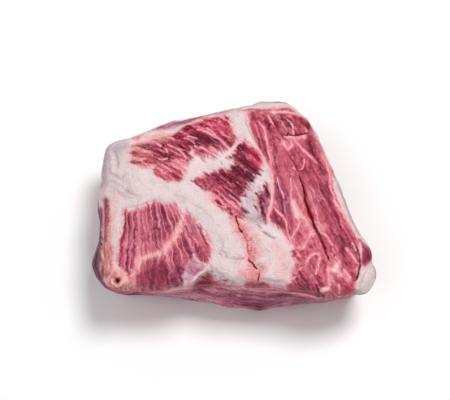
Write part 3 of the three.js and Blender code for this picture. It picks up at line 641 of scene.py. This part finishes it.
def copyOfMeat():
    # the solid with an even skin of small faces, finer on the cut face
    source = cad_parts["pork_neck"]
    shape = bmesh.new()
    shape.from_mesh(source.data)
    bmesh.ops.remove_doubles(shape, verts=shape.verts, dist=1e-5)
    mesh = bpy.data.meshes.new("porkNeck")
    shape.to_mesh(mesh)
    shape.free()
    piece = bpy.data.objects.new("porkNeck", mesh)
    bpy.context.collection.objects.link(piece)
    remesh = piece.modifiers.new("skin", "REMESH")
    remesh.mode = "VOXEL"
    remesh.voxel_size = meat["voxel"] * mm
    piece.data = bpy.data.meshes.new_from_object(piece.evaluated_get(bpy.context.evaluated_depsgraph_get()))
    piece.modifiers.clear()
    shape = bmesh.new()
    shape.from_mesh(piece.data)
    bmesh.ops.remove_doubles(shape, verts=shape.verts, dist=1e-6)
    lowest, tilt = meat["faceFrom"] * mm, meat["faceTilt"]
    fine = [e for e in shape.edges if all(v.co.z > lowest and v.normal.z > tilt for v in e.verts)]
    bmesh.ops.subdivide_edges(shape, edges=fine, cuts=1, use_grid_fill=True)
    everyWay = {"use_axis_x": True, "use_axis_y": True, "use_axis_z": True}
    for _ in range(meat["smoothing"]):
        bmesh.ops.smooth_vert(shape, verts=shape.verts, factor=0.5, **everyWay)
    shape.to_mesh(piece.data)
    shape.free()
    return piece


def positions(mesh):
    spots = np.empty(len(mesh.vertices) * 3)
    mesh.vertices.foreach_get("co", spots)
    normals = np.empty(len(mesh.vertices) * 3)
    mesh.vertices.foreach_get("normal", normals)
    return spots.reshape(-1, 3) / mm, normals.reshape(-1, 3)


def onChart(spots):
    # where the camera sees each point on the chart's level
    share = (eyePoint[2] - chart["level"]) / (eyePoint[2] - spots[:, 2])
    x = eyePoint[0] + (spots[:, 0] - eyePoint[0]) * share
    y = eyePoint[1] + (spots[:, 1] - eyePoint[1]) * share
    return x, y


def layMuscles(x, y, z):
    # how deep in a muscle each point is, how far the next muscle is, its fibres' directions and its look
    lean = np.full(len(x), -farAway)
    second = np.full(len(x), -farAway)
    looks = ("dark", "pale", "warm", "feather", "bulge", "grain", "ribs")
    values = {key: np.zeros(len(x)) for key in (*looks, "dusk", "blush")}
    fibre = np.zeros((len(x), 3))
    for own in muscles.values():
        muscle = {**plainMuscle, **own}
        inside = insideOutline(x, y, muscle["outline"])
        middle = place(muscle["outline"]).mean(axis=0)
        turn = math.radians(muscle["angle"])
        dx, dy = x - middle[0], y - middle[1]
        along = dx * math.cos(turn) + dy * math.sin(turn)
        across = -dx * math.sin(turn) + dy * math.cos(turn)
        across = across / (1 + np.clip(muscle["fan"] / meat["fanLength"] * along, -0.5, 0.5))
        across = across + muscle["curve"] * along ** 2
        mine = inside > lean
        for key in looks:
            values[key] = np.where(mine, muscle[key], values[key])
        fibre = np.where(mine[:, None], np.stack([along, across, z * 0.4], axis=1), fibre)
        second = np.where(mine, lean, np.maximum(second, inside))
        lean = np.where(mine, inside, lean)
    border = np.clip(lean - second, 0, 10) + 3 * ease(-lean, 2.5, 4.5)  # wide fat counts as far from any border
    for outline in leanGround.values():
        lean = np.maximum(lean, np.minimum(insideOutline(x, y, outline), meat["groundDepth"]))
    for outline in fatPatches.values():
        lean = np.minimum(lean, -insideOutline(x, y, outline))
    for line, reach, added in shades:
        share = 1 - ease(alongLine(x, y, line)[0], 0, reach)
        for key, amount in added.items():
            values[key] += amount * share
    return lean, border, fibre, values


def laySeams(x, y):
    # distance to the nearest seam as a multiple of half its width: with its side as sign, and as
    # far as the seam reaches; and how much one side of it laps over the other
    offset = np.full(len(x), 1e3)
    reach = np.full(len(x), 1e3)
    nextReach = np.full(len(x), 1e3)
    lap = np.zeros(len(x))
    for line, width in seams.values():
        distance, signed, where = alongLine(x, y, line)
        half = width / 2 * (0.35 + 0.65 * fromEnds(where, 0, 0.15))
        away = distance / half + 6 * (1 - fromEnds(where, 0, 0.06))  # it stops at its ends
        offset = np.where(away < reach, signed / half, offset)
        lap = np.where(away < reach, fromEnds(where, 0, 0.2), lap)
        nextReach = np.minimum(nextReach, np.maximum(away, reach))
        reach = np.minimum(reach, away)
    reach += 4 * (1 - ease(nextReach - reach, 0, 0.8)) * ease(reach, 0.8, 1.6)  # nothing where two seams meet
    return offset, reach, lap


def layCreases(x, y, values):
    # how red each point is from a split or crease (partly red flesh, partly painted shade), how much it is
    # inside one, and how deep its groove is
    pit, split, groove = np.zeros(len(x)), np.zeros(len(x)), np.zeros(len(x))
    for name, (line, half, red, depth) in creases.items():
        distance, _, where = alongLine(x, y, line)
        if name in meat["pinch"]:
            split = np.maximum(split, np.exp(-((distance / 2) ** 4)) * fromEnds(where, 0.0, 0.06))
        pit = np.maximum(pit, np.exp(-((distance / half) ** 4)) * fromEnds(where, -0.02, 0.06) * red)
        soft = np.exp(-((distance / max(half, 1.2)) ** 2)) * fromEnds(where, -0.02, 0.12)
        groove = np.maximum(groove, soft * depth)
    # furrows paint grey shade into the fat
    for line, half, grey, depth in furrows.values():
        distance, _, where = alongLine(x, y, line)
        shape = np.exp(-((distance / half) ** 2)) * fromEnds(where, -0.02, 0.15)
        values["dusk"] += (np.maximum(values["dusk"], grey) - values["dusk"]) * shape
        groove = np.maximum(groove, shape * depth)
    return pit, split, groove


def readFields(spots, normals):
    # everything that the colours and the fine relief need, for every point of the meat
    z = spots[:, 2]
    x, y = onChart(spots)
    under = ease(z, *meat["underside"])
    sway = meat["drift"] * np.stack([noiseAt(spots, (30, 30, 30), seed) for seed in (3.3, 9.1)])
    x = np.where(under > 0.5, spots[:, 0] + sway[0], x)  # the muscles run through to the underside
    y = np.where(under > 0.5, spots[:, 1] + sway[1], y)
    rimInside = insideOutline(spots[:, 0], spots[:, 1], meat["rimOutline"])
    side = np.maximum(ease(rimInside, *meat["rimBlend"]), ease(z, *meat["wallTop"])) * (1 - under)
    toEye = eyePoint - spots
    facing = (normals * toEye).sum(axis=1) / np.linalg.norm(toEye, axis=1)
    hidden = side * (1 - ease(facing, 0.0, 0.16) * ease(z, *meat["seenWall"]))  # walls with their own pattern
    seen = 1 - hidden

    lean, border, fibre, values = layMuscles(x, y, z)
    offset, reach, lap = laySeams(x, y)
    pit, split, groove = layCreases(x, y, values)
    band = np.zeros(len(x))
    for line, wide, strength in bands.values():
        band = np.maximum(band, strength * (1 - ease(alongLine(x, y, line)[0], 0, wide)))
    film = insideOutline(x, y, silverSkin)

    # hidden walls: long bundles that lie level, fat between them, thin silver skin here and there
    laid = spots.copy()
    laid[:, 2] += walls["waveHeight"] * noiseAt(spots, walls["waves"], 2.9)
    front = ease(-normals[:, 1], 0.2, 0.7)
    alongLeft = spots[:, 1] + 16 * noiseAt(spots, (24, 24, 12), 17.3)
    leftLean = ease(-normals[:, 0], 0.2, 0.7) * ease(alongLeft, 6, -18)
    rimFat = ease(z, 46, 60) * (1 - front) * (1 - leftLean)
    patchX, patchZ, patchWide, patchHigh = walls["fatPatch"]
    patch = np.exp(-(((spots[:, 0] - patchX) / patchWide) ** 2) - ((z - patchZ) / patchHigh) ** 2) * front
    bundles = noiseAt(laid, walls["bundles"], 1.7) + 0.4 * noiseAt(laid, walls["smallBundles"], 5.2)
    wallLean = (bundles + 0.26 + 0.5 * front + 0.5 * leftLean - 0.9 * rimFat - 1.1 * patch) * 9
    lean = lean * seen + wallLean * hidden
    for key, value in walls["look"].items():
        values[key] = values[key] * seen + value * hidden
    tone = noiseAt(laid, walls["tones"], 7.7)
    # the lean on walls that face left is darker away from their foot: painted shade, like that of the left wall
    # on the chart
    values["dark"] += (0.26 * tone - 0.14 * front + 0.42 * leftLean * ease(z, -6, 30)) * hidden
    values["warm"] -= (0.25 * front + 0.4 * leftLean) * hidden
    for line, wide, added in wallShades:
        share = (1 - ease(alongLine(x, y, line)[0], 0, wide)) * front * side
        for key, amount in added.items():
            values[key] += amount * share
    offset = np.where(hidden > 0.5, 1e3, offset)
    reach = np.where(hidden > 0.5, 1e3, reach)
    film = np.clip(film, -30, 30) * seen + (noiseAt(laid, walls["films"], 21.3) - 0.3) * 8 * hidden

    inSplit = ease(split, 0.1, 0.5) * ease(0.75 - np.abs(normals[:, 2]), 0, 0.35) * (1 - side)
    return {**values, "inSplit": inSplit, "lean": lean, "film": film, "side": side, "under": under,
            "seamOffset": np.clip(offset, -30, 30), "seamReach": np.clip(reach, 0, 30), "band": band * seen,
            "pit": pit * seen, "groove": groove * seen, "bundles": bundles, "fibre": fibre, "border": border,
            "lap": lap, "x": x, "y": y}


# The low relief: heights in mm. The uneven parts have their size along each axis (mm) and a seed too.
relief = {
    "swell": 2.0,  # mm inside its edge where a muscle has swollen to two thirds of its bulge
    "edgeGroove": (0.3, 1.5),  # depth, and half width in mm
    "seamGroove": (0.2, 1.6),  # depth, and half width as a multiple of the seam's
    "lap": (0.3, 1.8),  # one side of a seam over the other
    "groove": 1.1,  # the deepest crease or furrow
    "ribs": 0.35,
    "bundles": (0.45, (16, 2.4, 4), 0.0),
    "fibres": (0.3, (9, 1.2, 3), 4.4),
    "fatLumps": (0.45, (5, 5, 5), 2.2),
    "fatGrain": (0.2, (2.2, 2.2, 2.2), 6.2),
    "uneven": (0.6, (12, 12, 12), 8.8),
    "wallBundles": 1.6,
    "wallFolds": (0.8, (20, 20, 3.4), 11.5),
    "wallThreads": (0.3, (10, 10, 1.5), 12.5),
    "wobble": ((0.9, (9, 9, 30)), (0.5, (3.5, 3.5, 30))),  # sideways
}


def uneven(name, points):
    height, size, seed = relief[name]
    return height * noiseAt(points, size, seed)


def closeLips(moved, fields, top):
    # the lips of each split move towards each other
    for name, closings in meat["pinch"].items():
        line = place(creases[name][0])
        distance, signed, where = alongLine(fields["x"], fields["y"], creases[name][0])
        run = line[-1] - line[0]
        across = np.array([-run[1], run[0]]) / np.hypot(*run)
        amount = np.interp(where, np.linspace(0, 1, len(closings)), closings)
        amount *= np.exp(-((distance / meat["pinchReach"]) ** 2)) * fromEnds(where, 0, 0.04)
        amount *= 1 + 0.6 * noiseAt(np.stack([where * 16, distance * 0, distance * 0], axis=1), (1, 1, 1), 3.1)
        moved[:, :2] += (-np.sign(signed) * np.minimum(amount, 0.8 * distance) * top)[:, None] * across


def raiseRelief(piece, spots, normals, fields):
    # the low relief of the surface, along the normal
    lean, side, fibre, grain = fields["lean"], fields["side"], fields["fibre"], fields["grain"]
    above = 1 - fields["under"]
    top = (1 - side) * above
    isLean = ease(lean, -0.4, 0.8)
    clear = ease(fields["border"], 1.0, 3.2) * isLean * top
    depth, width = relief["edgeGroove"]
    within = np.clip(np.minimum(lean, fields["border"]), 0, 40)
    rise = fields["bulge"] * (1 - np.exp(-within / relief["swell"])) * top
    rise -= depth * np.exp(-((lean / width) ** 2)) * top
    depth, width = relief["seamGroove"]
    rise -= depth * np.exp(-((fields["seamReach"] / width) ** 2)) * top
    height, width = relief["lap"]
    step = np.clip(fields["seamOffset"], -8, 8)
    rise += height * np.tanh(step) * np.exp(-np.abs(step) / width) * fields["lap"] * isLean * top
    rise -= relief["groove"] * fields["groove"] * above
    rise += (uneven("bundles", fibre) + uneven("fibres", fibre)) * grain * clear
    rise += relief["ribs"] * fields["ribs"] * np.cos(fibre[:, 1] / meat["ribSpacing"] * 2 * math.pi) * clear
    rise += (uneven("fatLumps", spots) + uneven("fatGrain", spots)) * (1 - isLean) * above
    rise += uneven("uneven", spots) * above
    for spot, radius, height in knobs.values():
        away = np.hypot(fields["x"] - spot[0] - chart["centre"][0], fields["y"] - spot[1] - chart["centre"][1])
        rise += height * np.exp(-((away / radius) ** 2)) * top
    rise -= relief["wallBundles"] * np.clip(1 - np.abs(fields["bundles"]) * 2, 0, 1) ** 2 * side
    rise += (uneven("wallFolds", spots) + uneven("wallThreads", spots)) * side
    moved = spots + normals * rise[:, None]
    closeLips(moved, fields, top)
    (wide, wideSize), (small, smallSize) = relief["wobble"]
    for axis, seed in ((0, 31.7), (1, 47.1)):  # nothing runs dead straight
        wobble = wide * noiseAt(spots, wideSize, seed) + small * noiseAt(spots, smallSize, seed + 5)
        moved[:, axis] += wobble * top
    low, high = (np.array(corner) / mm for corner in cadBox)
    moved = np.clip(moved, low - meat["pastBox"], high + meat["pastBox"])
    moved[:, 2] = np.maximum(moved[:, 2], 0)
    piece.data.vertices.foreach_set("co", (moved * mm).ravel())
    piece.data.update()


def storeFields(piece, fields):
    # the material reads these
    for name in ("lean", "feather", "dark", "pale", "warm", "grain", "ribs", "dusk", "blush", "film", "side",
                 "seamOffset", "seamReach", "band", "pit", "inSplit", "border"):
        layer = piece.data.attributes.new(name, "FLOAT", "POINT")
        layer.data.foreach_set("value", fields[name].astype(np.float32))
    layer = piece.data.attributes.new("fibre", "FLOAT_VECTOR", "POINT")
    layer.data.foreach_set("vector", fields["fibre"].astype(np.float32).ravel())


def makeMeat():
    piece = copyOfMeat()
    print("meat remeshed:", len(piece.data.polygons), "faces")
    spots, normals = positions(piece.data)
    fields = readFields(spots, normals)
    print("muscles and fat laid out")
    raiseRelief(piece, spots, normals, fields)
    storeFields(piece, fields)
    piece.data.shade_smooth()
    print("relief raised")
    return piece


class Value:
    # a socket's output that can be reckoned with
    def __init__(self, shader, socket):
        self.shader = shader
        self.socket = socket

    def math(self, operation, *others):
        return self.shader.add("ShaderNodeMath", {"operation": operation}, dict(enumerate((self, *others))))

    def __add__(self, other):
        return self.math("ADD", other)

    __radd__ = __add__

    def __mul__(self, other):
        return self.math("MULTIPLY", other)

    __rmul__ = __mul__

    def __sub__(self, other):
        return self.math("SUBTRACT", other)

    def __rsub__(self, other):
        return (self * -1) + other

    def __truediv__(self, other):
        return self.math("DIVIDE", other)


class Shader:
    def __init__(self, name):
        self.material = bpy.data.materials.new(name)
        self.material.use_nodes = True
        self.tree = self.material.node_tree
        self.tree.nodes.clear()

    def add(self, kind, settings=None, inputs=None, output=0):
        node = self.tree.nodes.new(kind)
        for name, value in (settings or {}).items():
            if name == "stops":
                ramp = node.color_ramp
                while len(ramp.elements) < len(value):
                    ramp.elements.new(1)
                for element, (position, tint) in zip(ramp.elements, value):
                    element.position, element.color = position, tint
            else:
                setattr(node, name, value)
        for name, value in (inputs or {}).items():
            if isinstance(value, Value):
                self.tree.links.new(value.socket, node.inputs[name])
            else:
                node.inputs[name].default_value = value
        return Value(self, node.outputs[output]) if node.outputs else None

    def field(self, name, output="Fac"):
        return self.add("ShaderNodeAttribute", {"attribute_name": name}, output=output)

    def ease(self, value, low, high):
        return self.add("ShaderNodeMapRange", {"interpolation_type": "SMOOTHSTEP"},
                        {"Value": value, "From Min": low, "From Max": high})

    def line(self, value, width):
        # a thin line where the value passes the middle
        return 1 - self.ease((value - 0.5).math("ABSOLUTE"), 0.0, width)

    def ramp(self, value, stops):
        return self.add("ShaderNodeValToRGB", {"stops": stops}, {0: value})

    def blend(self, factor, first, second):
        return self.add("ShaderNodeMix", {"data_type": "RGBA"}, {0: factor, 6: first, 7: second}, 2)

    def stretch(self, vector, factors):
        return self.add("ShaderNodeVectorMath", {"operation": "MULTIPLY"}, {0: vector, 1: factors})

    def shift(self, vector, by):
        return self.add("ShaderNodeVectorMath", {"operation": "ADD"}, {0: vector, 1: by})

    def noise(self, vector, scale, detail=2.0, roughness=0.5):
        return self.add("ShaderNodeTexNoise", {},
                        {"Vector": vector, "Scale": scale, "Detail": detail, "Roughness": roughness})

    def wander(self, vector, scale, amounts):
        # a vector that drifts from place to place, by half of each amount (mm) at most
        drift = self.add("ShaderNodeTexNoise", {}, {"Vector": vector, "Scale": scale, "Detail": 2.0}, "Color")
        drift = self.add("ShaderNodeVectorMath", {"operation": "SUBTRACT"}, {0: drift, 1: (0.5, 0.5, 0.5)})
        return self.stretch(drift, amounts)


def colour(red, green, blue):
    # screen colour, 0 to 255, to the linear one that a shader takes
    parts = (c / 255 for c in (red, green, blue))
    return tuple(c / 12.92 if c < 0.0405 else ((c + 0.055) / 1.055) ** 2.4 for c in parts) + (1.0,)


def tones(*colours):
    # the stops of a ramp, evenly spaced
    return [(i / (len(colours) - 1), colour(*each)) for i, each in enumerate(colours)]


rawPork = {
    # lean from pale to dark
    "lean": tones((224, 150, 160), (200, 98, 115), (168, 64, 84), (126, 30, 54), (84, 8, 30)),
    "salmon": tones((232, 178, 168), (208, 134, 126), (176, 90, 86), (140, 54, 54), (100, 28, 32)),
    "purple": tones((208, 152, 174), (176, 104, 132), (142, 66, 98), (104, 36, 68), (62, 14, 40)),
    "vivid": tones((238, 140, 160), (218, 88, 112), (186, 42, 76), (146, 14, 52), (92, 4, 30)),
    "marbling": colour(240, 158, 170),
    "band": colour(240, 180, 180),
    "edge": colour(236, 146, 156),
    # fat
    "fat": colour(233, 213, 211),
    "creamFat": colour(241, 199, 195),
    "lilacFat": colour(212, 194, 200),
    "bright": colour(250, 226, 231),
    # grey-mauve: partly painted shade, partly the own grey of fat and lean and of the clouds and specks in the
    # fat
    "dusk": colour(140, 104, 124),
    "blush": colour(236, 138, 144),
    "capillary": colour(196, 62, 76),
    # seams, silver skin and splits; the dark red of splits and creases is partly painted shade
    "gristle": colour(246, 178, 188),
    "seamSide": colour(232, 128, 146),
    "film": colour(190, 136, 157),
    "filmEdge": colour(238, 200, 212),
    "pit": colour(120, 12, 30),
    # the red of a split's inner walls, painted lighter to make up for the shade deep in the split
    "insideSplit": colour(206, 66, 78),
    # how it shines, and how far light goes in
    "roughness": 0.36,
    "bump": 0.9,
    "bumpHeight": 0.001,
    "subsurface": 0.12,
    "subsurfaceRadius": (1.0, 0.35, 0.25),
    "subsurfaceScale": 0.002,
    "ior": 1.4,
    "specular": 0.2,
}

# The patterns' scales, about one feature in 1 / scale mm.
patternScales = {
    "coarse": 0.2, "ridge": 0.48, "middle": 1.0, "fine": 2.4, "stripes": 0.4, "clump": 0.45, "gap": 0.4,
    "marbled": 0.33, "blotch": 0.08, "mottle": 0.45, "dust": 1.8, "speck": 0.85, "cloud": 0.13, "lobule": 0.3,
    "marbledPlace": 0.14, "streakyPlace": 0.11, "sway": 0.22, "wave": 0.028,
}
evenGrain = 0.47  # what the grain fades to where two muscles meet

# How strongly each colour covers what lies under it, 0 to 1.
covers = {
    "marbled": 0.4, "streak": 0.75, "ribLine": 0.8, "band": 0.9, "leanEdge": 0.4, "fatEdge": 0.35,
    "cloud": 0.3, "grit": 0.4, "cloudShade": 0.18, "speck": 0.4, "speckShade": 0.12,
    "film": 0.55, "filmOnWalls": 0.25, "filmEdge": 0.5, "seamSide": 0.6, "gristle": 0.85,
}


def makePatterns(shader):
    # what the colours share: along the fibres on the cut face, level on the walls
    scales = patternScales
    spot = shader.stretch(shader.add("ShaderNodeTexCoord", output="Object"), (1000, 1000, 1000))  # mm
    sway = shader.wander(spot, scales["sway"], (3.0, 3.0, 3.0))
    fibre = shader.shift(shader.field("fibre", "Vector"), sway)
    level = shader.shift(spot, sway)
    wave = shader.shift(level, shader.wander(spot, scales["wave"], (0, 0, 26)))
    streaked = shader.stretch(wave, (0.11, 0.11, 0.75))
    threads = shader.stretch(fibre, (0.12, 1, 1))
    side = shader.field("side")
    clear = shader.ease(shader.field("border"), 1.8, 3.6)

    def grain(name, detail=2, vector=threads):
        onFace = (shader.noise(vector, scales[name], detail) - evenGrain) * clear + evenGrain
        return onFace * (1 - side) + shader.noise(streaked, scales[name], detail) * side

    now = SimpleNamespace(spot=spot, level=level, side=side)
    for name in ("coarse", "ridge", "middle", "fine"):
        setattr(now, name, grain(name))
    now.stripes = grain("stripes", 2, shader.stretch(fibre, (0.035, 1, 1)))
    now.clump = grain("clump", 2, shader.stretch(fibre, (0.35, 1, 1)))
    now.gap = shader.line(grain("gap", 1), 0.04)
    now.marbled = shader.line(grain("marbled", 1), 0.03)
    now.blotch = shader.noise(spot, scales["blotch"], 3)
    now.mottle = shader.noise(spot, scales["mottle"], 4, 0.6)
    now.dust = shader.noise(spot, scales["dust"], 2)
    now.speck = shader.noise(spot, scales["speck"], 1)
    for name in ("lean", "dark", "pale", "warm", "feather", "blush"):
        setattr(now, name, shader.field(name))
    now.strength = shader.field("grain")
    now.ribs = shader.field("ribs") * clear
    across = shader.add("ShaderNodeSeparateXYZ", {}, {0: fibre}, 1)
    now.rib = ((across / meat["ribSpacing"] + (now.coarse - 0.5) * 1.4).math("FRACT") - 0.5).math("ABSOLUTE")

    ragged = (now.clump - 0.5) * 5.0 + (now.coarse - 0.5) * 2.0 + (now.ridge - 0.5) * 3.0
    ragged = ragged * now.feather + (now.mottle - 0.5) * 3.0
    ragged = ragged * (1 - shader.ease(now.lean, 1.5, 5.0) * 0.85)
    now.raggedLean = now.lean + ragged
    now.isLean = shader.ease(now.raggedLean / (now.feather * 0.7 + 0.6), -1.0, 1.0)
    return now


def leanColours(shader, now):
    strands = (now.coarse - 0.5) * 1.4 + (now.ridge - 0.5) * 1.3 + (now.middle - 0.5) * 0.7 + now.gap * 0.14
    tone = now.dark + strands * now.strength + (now.fine - 0.5) * 0.5 + (now.blotch - 0.5) * 0.8
    tone = tone + (now.mottle - 0.5) * (now.strength * 0.6 + 0.25) + (now.stripes - 0.5) * 0.6
    tone = tone + (0.25 - now.rib) * now.ribs * -0.5
    drift = (now.blotch - 0.5) * 0.5
    lean = shader.ramp(tone, rawPork["lean"])
    lean = shader.blend(shader.ease(now.warm + drift, 0.0, 1.0), lean, shader.ramp(tone, rawPork["salmon"]))
    lean = shader.blend(shader.ease(0 - now.warm + drift, 0.0, 1.0), lean, shader.ramp(tone, rawPork["purple"]))
    lean = shader.blend(now.blush, lean, shader.ramp(tone, rawPork["vivid"]))

    marbledPlace = shader.noise(now.spot, patternScales["marbledPlace"], 2) + now.pale * 0.3
    streakyPlace = shader.noise(now.spot, patternScales["streakyPlace"], 2) + now.pale * 0.4
    marbled = now.marbled * shader.ease(marbledPlace, 0.5, 0.68)
    streak = (0.95 - now.ridge) * 0.7 + now.middle * 0.3 + now.pale * 0.12
    streak = shader.ease(streak, 0.54, 0.7) * covers["streak"] * now.strength
    streak = streak * (shader.ease(streakyPlace, 0.42, 0.62) * 0.65 + 0.35)
    ribLine = (1 - shader.ease(now.rib, 0.0, 0.14)) * shader.ease(now.ribs, 0.0, 0.4)
    ribLine = ribLine * shader.ease(now.ridge + now.middle * 0.6 + now.ribs * 0.5, 0.95, 1.3)
    pallid = (marbled * covers["marbled"]).math("MAXIMUM", streak).math("MAXIMUM", ribLine * covers["ribLine"])
    lean = shader.blend(pallid, lean, rawPork["marbling"])

    band = shader.field("band")
    uneasy = ((now.ridge - 0.5) * 2.4 + (now.mottle - 0.5) * 2.6) * shader.ease(band, 0.0, 0.3)
    lean = shader.blend(shader.ease(band + uneasy, 0.1, 1.3) * covers["band"], lean, rawPork["band"])
    edge = 1 - shader.ease(now.raggedLean, 0.0, 3.0)
    return shader.blend(edge * covers["leanEdge"], lean, rawPork["edge"])


def fatColours(shader, now):
    mottle, warm, blush = now.mottle, now.warm, now.blush
    cloud = shader.noise(now.spot, patternScales["cloud"], 3, 0.6)
    fat = shader.blend(shader.ease(warm + (mottle - 0.5) * 0.8, 0.0, 1.0), rawPork["fat"], rawPork["creamFat"])
    fat = shader.blend(shader.ease(0 - warm + (mottle - 0.5) * 0.8, 0.0, 1.1), fat, rawPork["lilacFat"])
    grit = mottle + (now.dust - 0.5) * 0.6
    for name, mask, tint in (
            ("cloud", shader.ease(cloud, 0.5, 0.7), "bright"),
            ("grit", shader.ease(grit, 0.54, 0.72), "bright"),
            ("cloudShade", shader.ease(0.5 - cloud, 0.02, 0.2), "dusk"),
            ("speck", shader.ease(now.speck, 0.56, 0.7), "bright"),
            ("speckShade", shader.ease(0.5 - now.speck, 0.06, 0.2), "dusk"),
            ("fatEdge", 1 - shader.ease(0 - now.raggedLean, 0.0, 3.0), "edge")):
        fat = shader.blend(mask * covers[name], fat, rawPork[tint])
    fat = shader.blend(blush * (mottle * 1.4 + 0.2), fat, rawPork["blush"])
    lobule = shader.add("ShaderNodeTexVoronoi", {"feature": "DISTANCE_TO_EDGE"},
                        {"Vector": now.level, "Scale": patternScales["lobule"]})
    crack = (1 - shader.ease(lobule, 0.0, 0.06)) * shader.ease(mottle, 0.42, 0.6) * blush
    return shader.blend(crack, fat, rawPork["capillary"])


def overColours(shader, now, skin):
    # silver skin, grey places (partly painted shade), bright places (partly painted highlight), seams and
    # splits
    mottle = now.mottle
    inFilm = shader.ease(shader.field("film") + (mottle - 0.5) * 4.0, -1.0, 1.6)
    filmEdge = shader.ease(now.blotch + mottle, 0.95, 1.15) * (1 - now.side)
    filmCover = covers["film"] - now.side * (covers["film"] - covers["filmOnWalls"])
    skin = shader.blend(inFilm * filmCover, skin, rawPork["film"])
    skin = shader.blend(inFilm * filmEdge * covers["filmEdge"], skin, rawPork["filmEdge"])
    # grey-mauve where the amount is above 0, partly painted shade; whiter where it is below 0, mostly the fat's
    # own white, but a painted highlight on the left fold and the flap
    dusk = shader.field("dusk")
    skin = shader.blend(dusk * (mottle * 0.6 + 0.3), skin, rawPork["dusk"])
    skin = shader.blend((0 - dusk) * (mottle * 1.6 + 0.1), skin, rawPork["bright"])

    offset = (shader.field("seamOffset") + (mottle - 0.5) * 2.0).math("ABSOLUTE")
    along = 1 - shader.ease(shader.field("seamReach"), 2.6, 3.6)
    beside = (1 - shader.ease(offset, 0.6, 2.6)) * along * now.isLean
    seam = (1 - shader.ease(offset, 0.1, 1.2)) * along * shader.ease(now.middle + mottle, 0.75, 1.1)
    skin = shader.blend(beside * covers["seamSide"], skin, rawPork["seamSide"])
    skin = shader.blend(seam * covers["gristle"], skin, rawPork["gristle"])
    # dark red in splits and creases: partly the red flesh, partly painted shade
    pit = shader.ease(shader.field("pit") + (mottle - 0.5) * 0.5, 0.25, 0.9)
    skin = shader.blend(pit, skin, rawPork["pit"])
    # inside a split: red painted lighter against the shade there
    return shader.blend(shader.field("inSplit"), skin, rawPork["insideSplit"])


def makeRawPork():
    shader = Shader("rawPork")
    now = makePatterns(shader)
    skin = shader.blend(now.isLean, fatColours(shader, now), leanColours(shader, now))
    skin = overColours(shader, now, skin)

    leanHeight = (now.ridge * 0.4 + now.middle * 0.3 + now.fine * 0.2) * now.isLean * (now.strength + 0.2)
    fatHeight = (now.mottle * 0.9 + now.speck * 0.9 + now.dust * 0.25) * (1 - now.isLean)
    bump = shader.add("ShaderNodeBump", {}, {
        "Height": leanHeight + fatHeight + now.dust * 0.2,
        "Strength": rawPork["bump"], "Distance": rawPork["bumpHeight"]})
    surface = shader.add("ShaderNodeBsdfPrincipled", {}, {
        "Base Color": skin,
        "Roughness": rawPork["roughness"] + (now.mottle - 0.5) * 0.3 + now.dark * 0.12,
        "Normal": bump,
        "Subsurface Weight": rawPork["subsurface"], "Subsurface Radius": rawPork["subsurfaceRadius"],
        "Subsurface Scale": rawPork["subsurfaceScale"],
        "IOR": rawPork["ior"], "Specular IOR Level": rawPork["specular"]})
    shader.add("ShaderNodeOutputMaterial", {}, {"Surface": surface})
    return shader.material


studio = {
    "floor": colour(250, 250, 250),
    "floorRoughness": 0.9,
    "floorSize": 3.0,  # m
    "sky": 0.34,
    "aim": (0, 0, 0.04),
    "lamps": [((0.35, 0.25, 1.2), 0.45, 10.5), ((-0.7, -0.35, 1.0), 1.3, 4.5)],  # place, width and watts
}


def makeStudio():
    shape = bmesh.new()
    bmesh.ops.create_grid(shape, x_segments=4, y_segments=4, size=studio["floorSize"])
    mesh = bpy.data.meshes.new("floor")
    shape.to_mesh(mesh)
    shape.free()
    floor = bpy.data.objects.new("floor", mesh)
    bpy.context.collection.objects.link(floor)
    paint = Shader("floorPaint")
    surface = paint.add("ShaderNodeBsdfPrincipled", {},
                        {"Base Color": studio["floor"], "Roughness": studio["floorRoughness"]})
    paint.add("ShaderNodeOutputMaterial", {}, {"Surface": surface})
    mesh.materials.append(paint.material)
    world = bpy.data.worlds.new("studioSky")
    world.use_nodes = True
    world.node_tree.nodes["Background"].inputs["Color"].default_value = (1, 1, 1, 1)
    world.node_tree.nodes["Background"].inputs["Strength"].default_value = studio["sky"]
    bpy.context.scene.world = world
    for number, (spot, size, power) in enumerate(studio["lamps"]):
        light = bpy.data.lights.new("softLight%d" % number, "AREA")
        light.shape = "DISK"
        light.size = size
        light.energy = power
        lamp = bpy.data.objects.new("softLight%d" % number, light)
        lamp.location = spot
        lamp.rotation_euler = (Vector(studio["aim"]) - Vector(spot)).to_track_quat("-Z", "Y").to_euler()
        bpy.context.collection.objects.link(lamp)
    bpy.context.scene.view_settings.view_transform = "Standard"


porkNeck = makeMeat()
porkNeck.data.materials.append(makeRawPork())
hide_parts("pork_neck")
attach(porkNeck, "root")
makeStudio()
print("material, floor and light made")
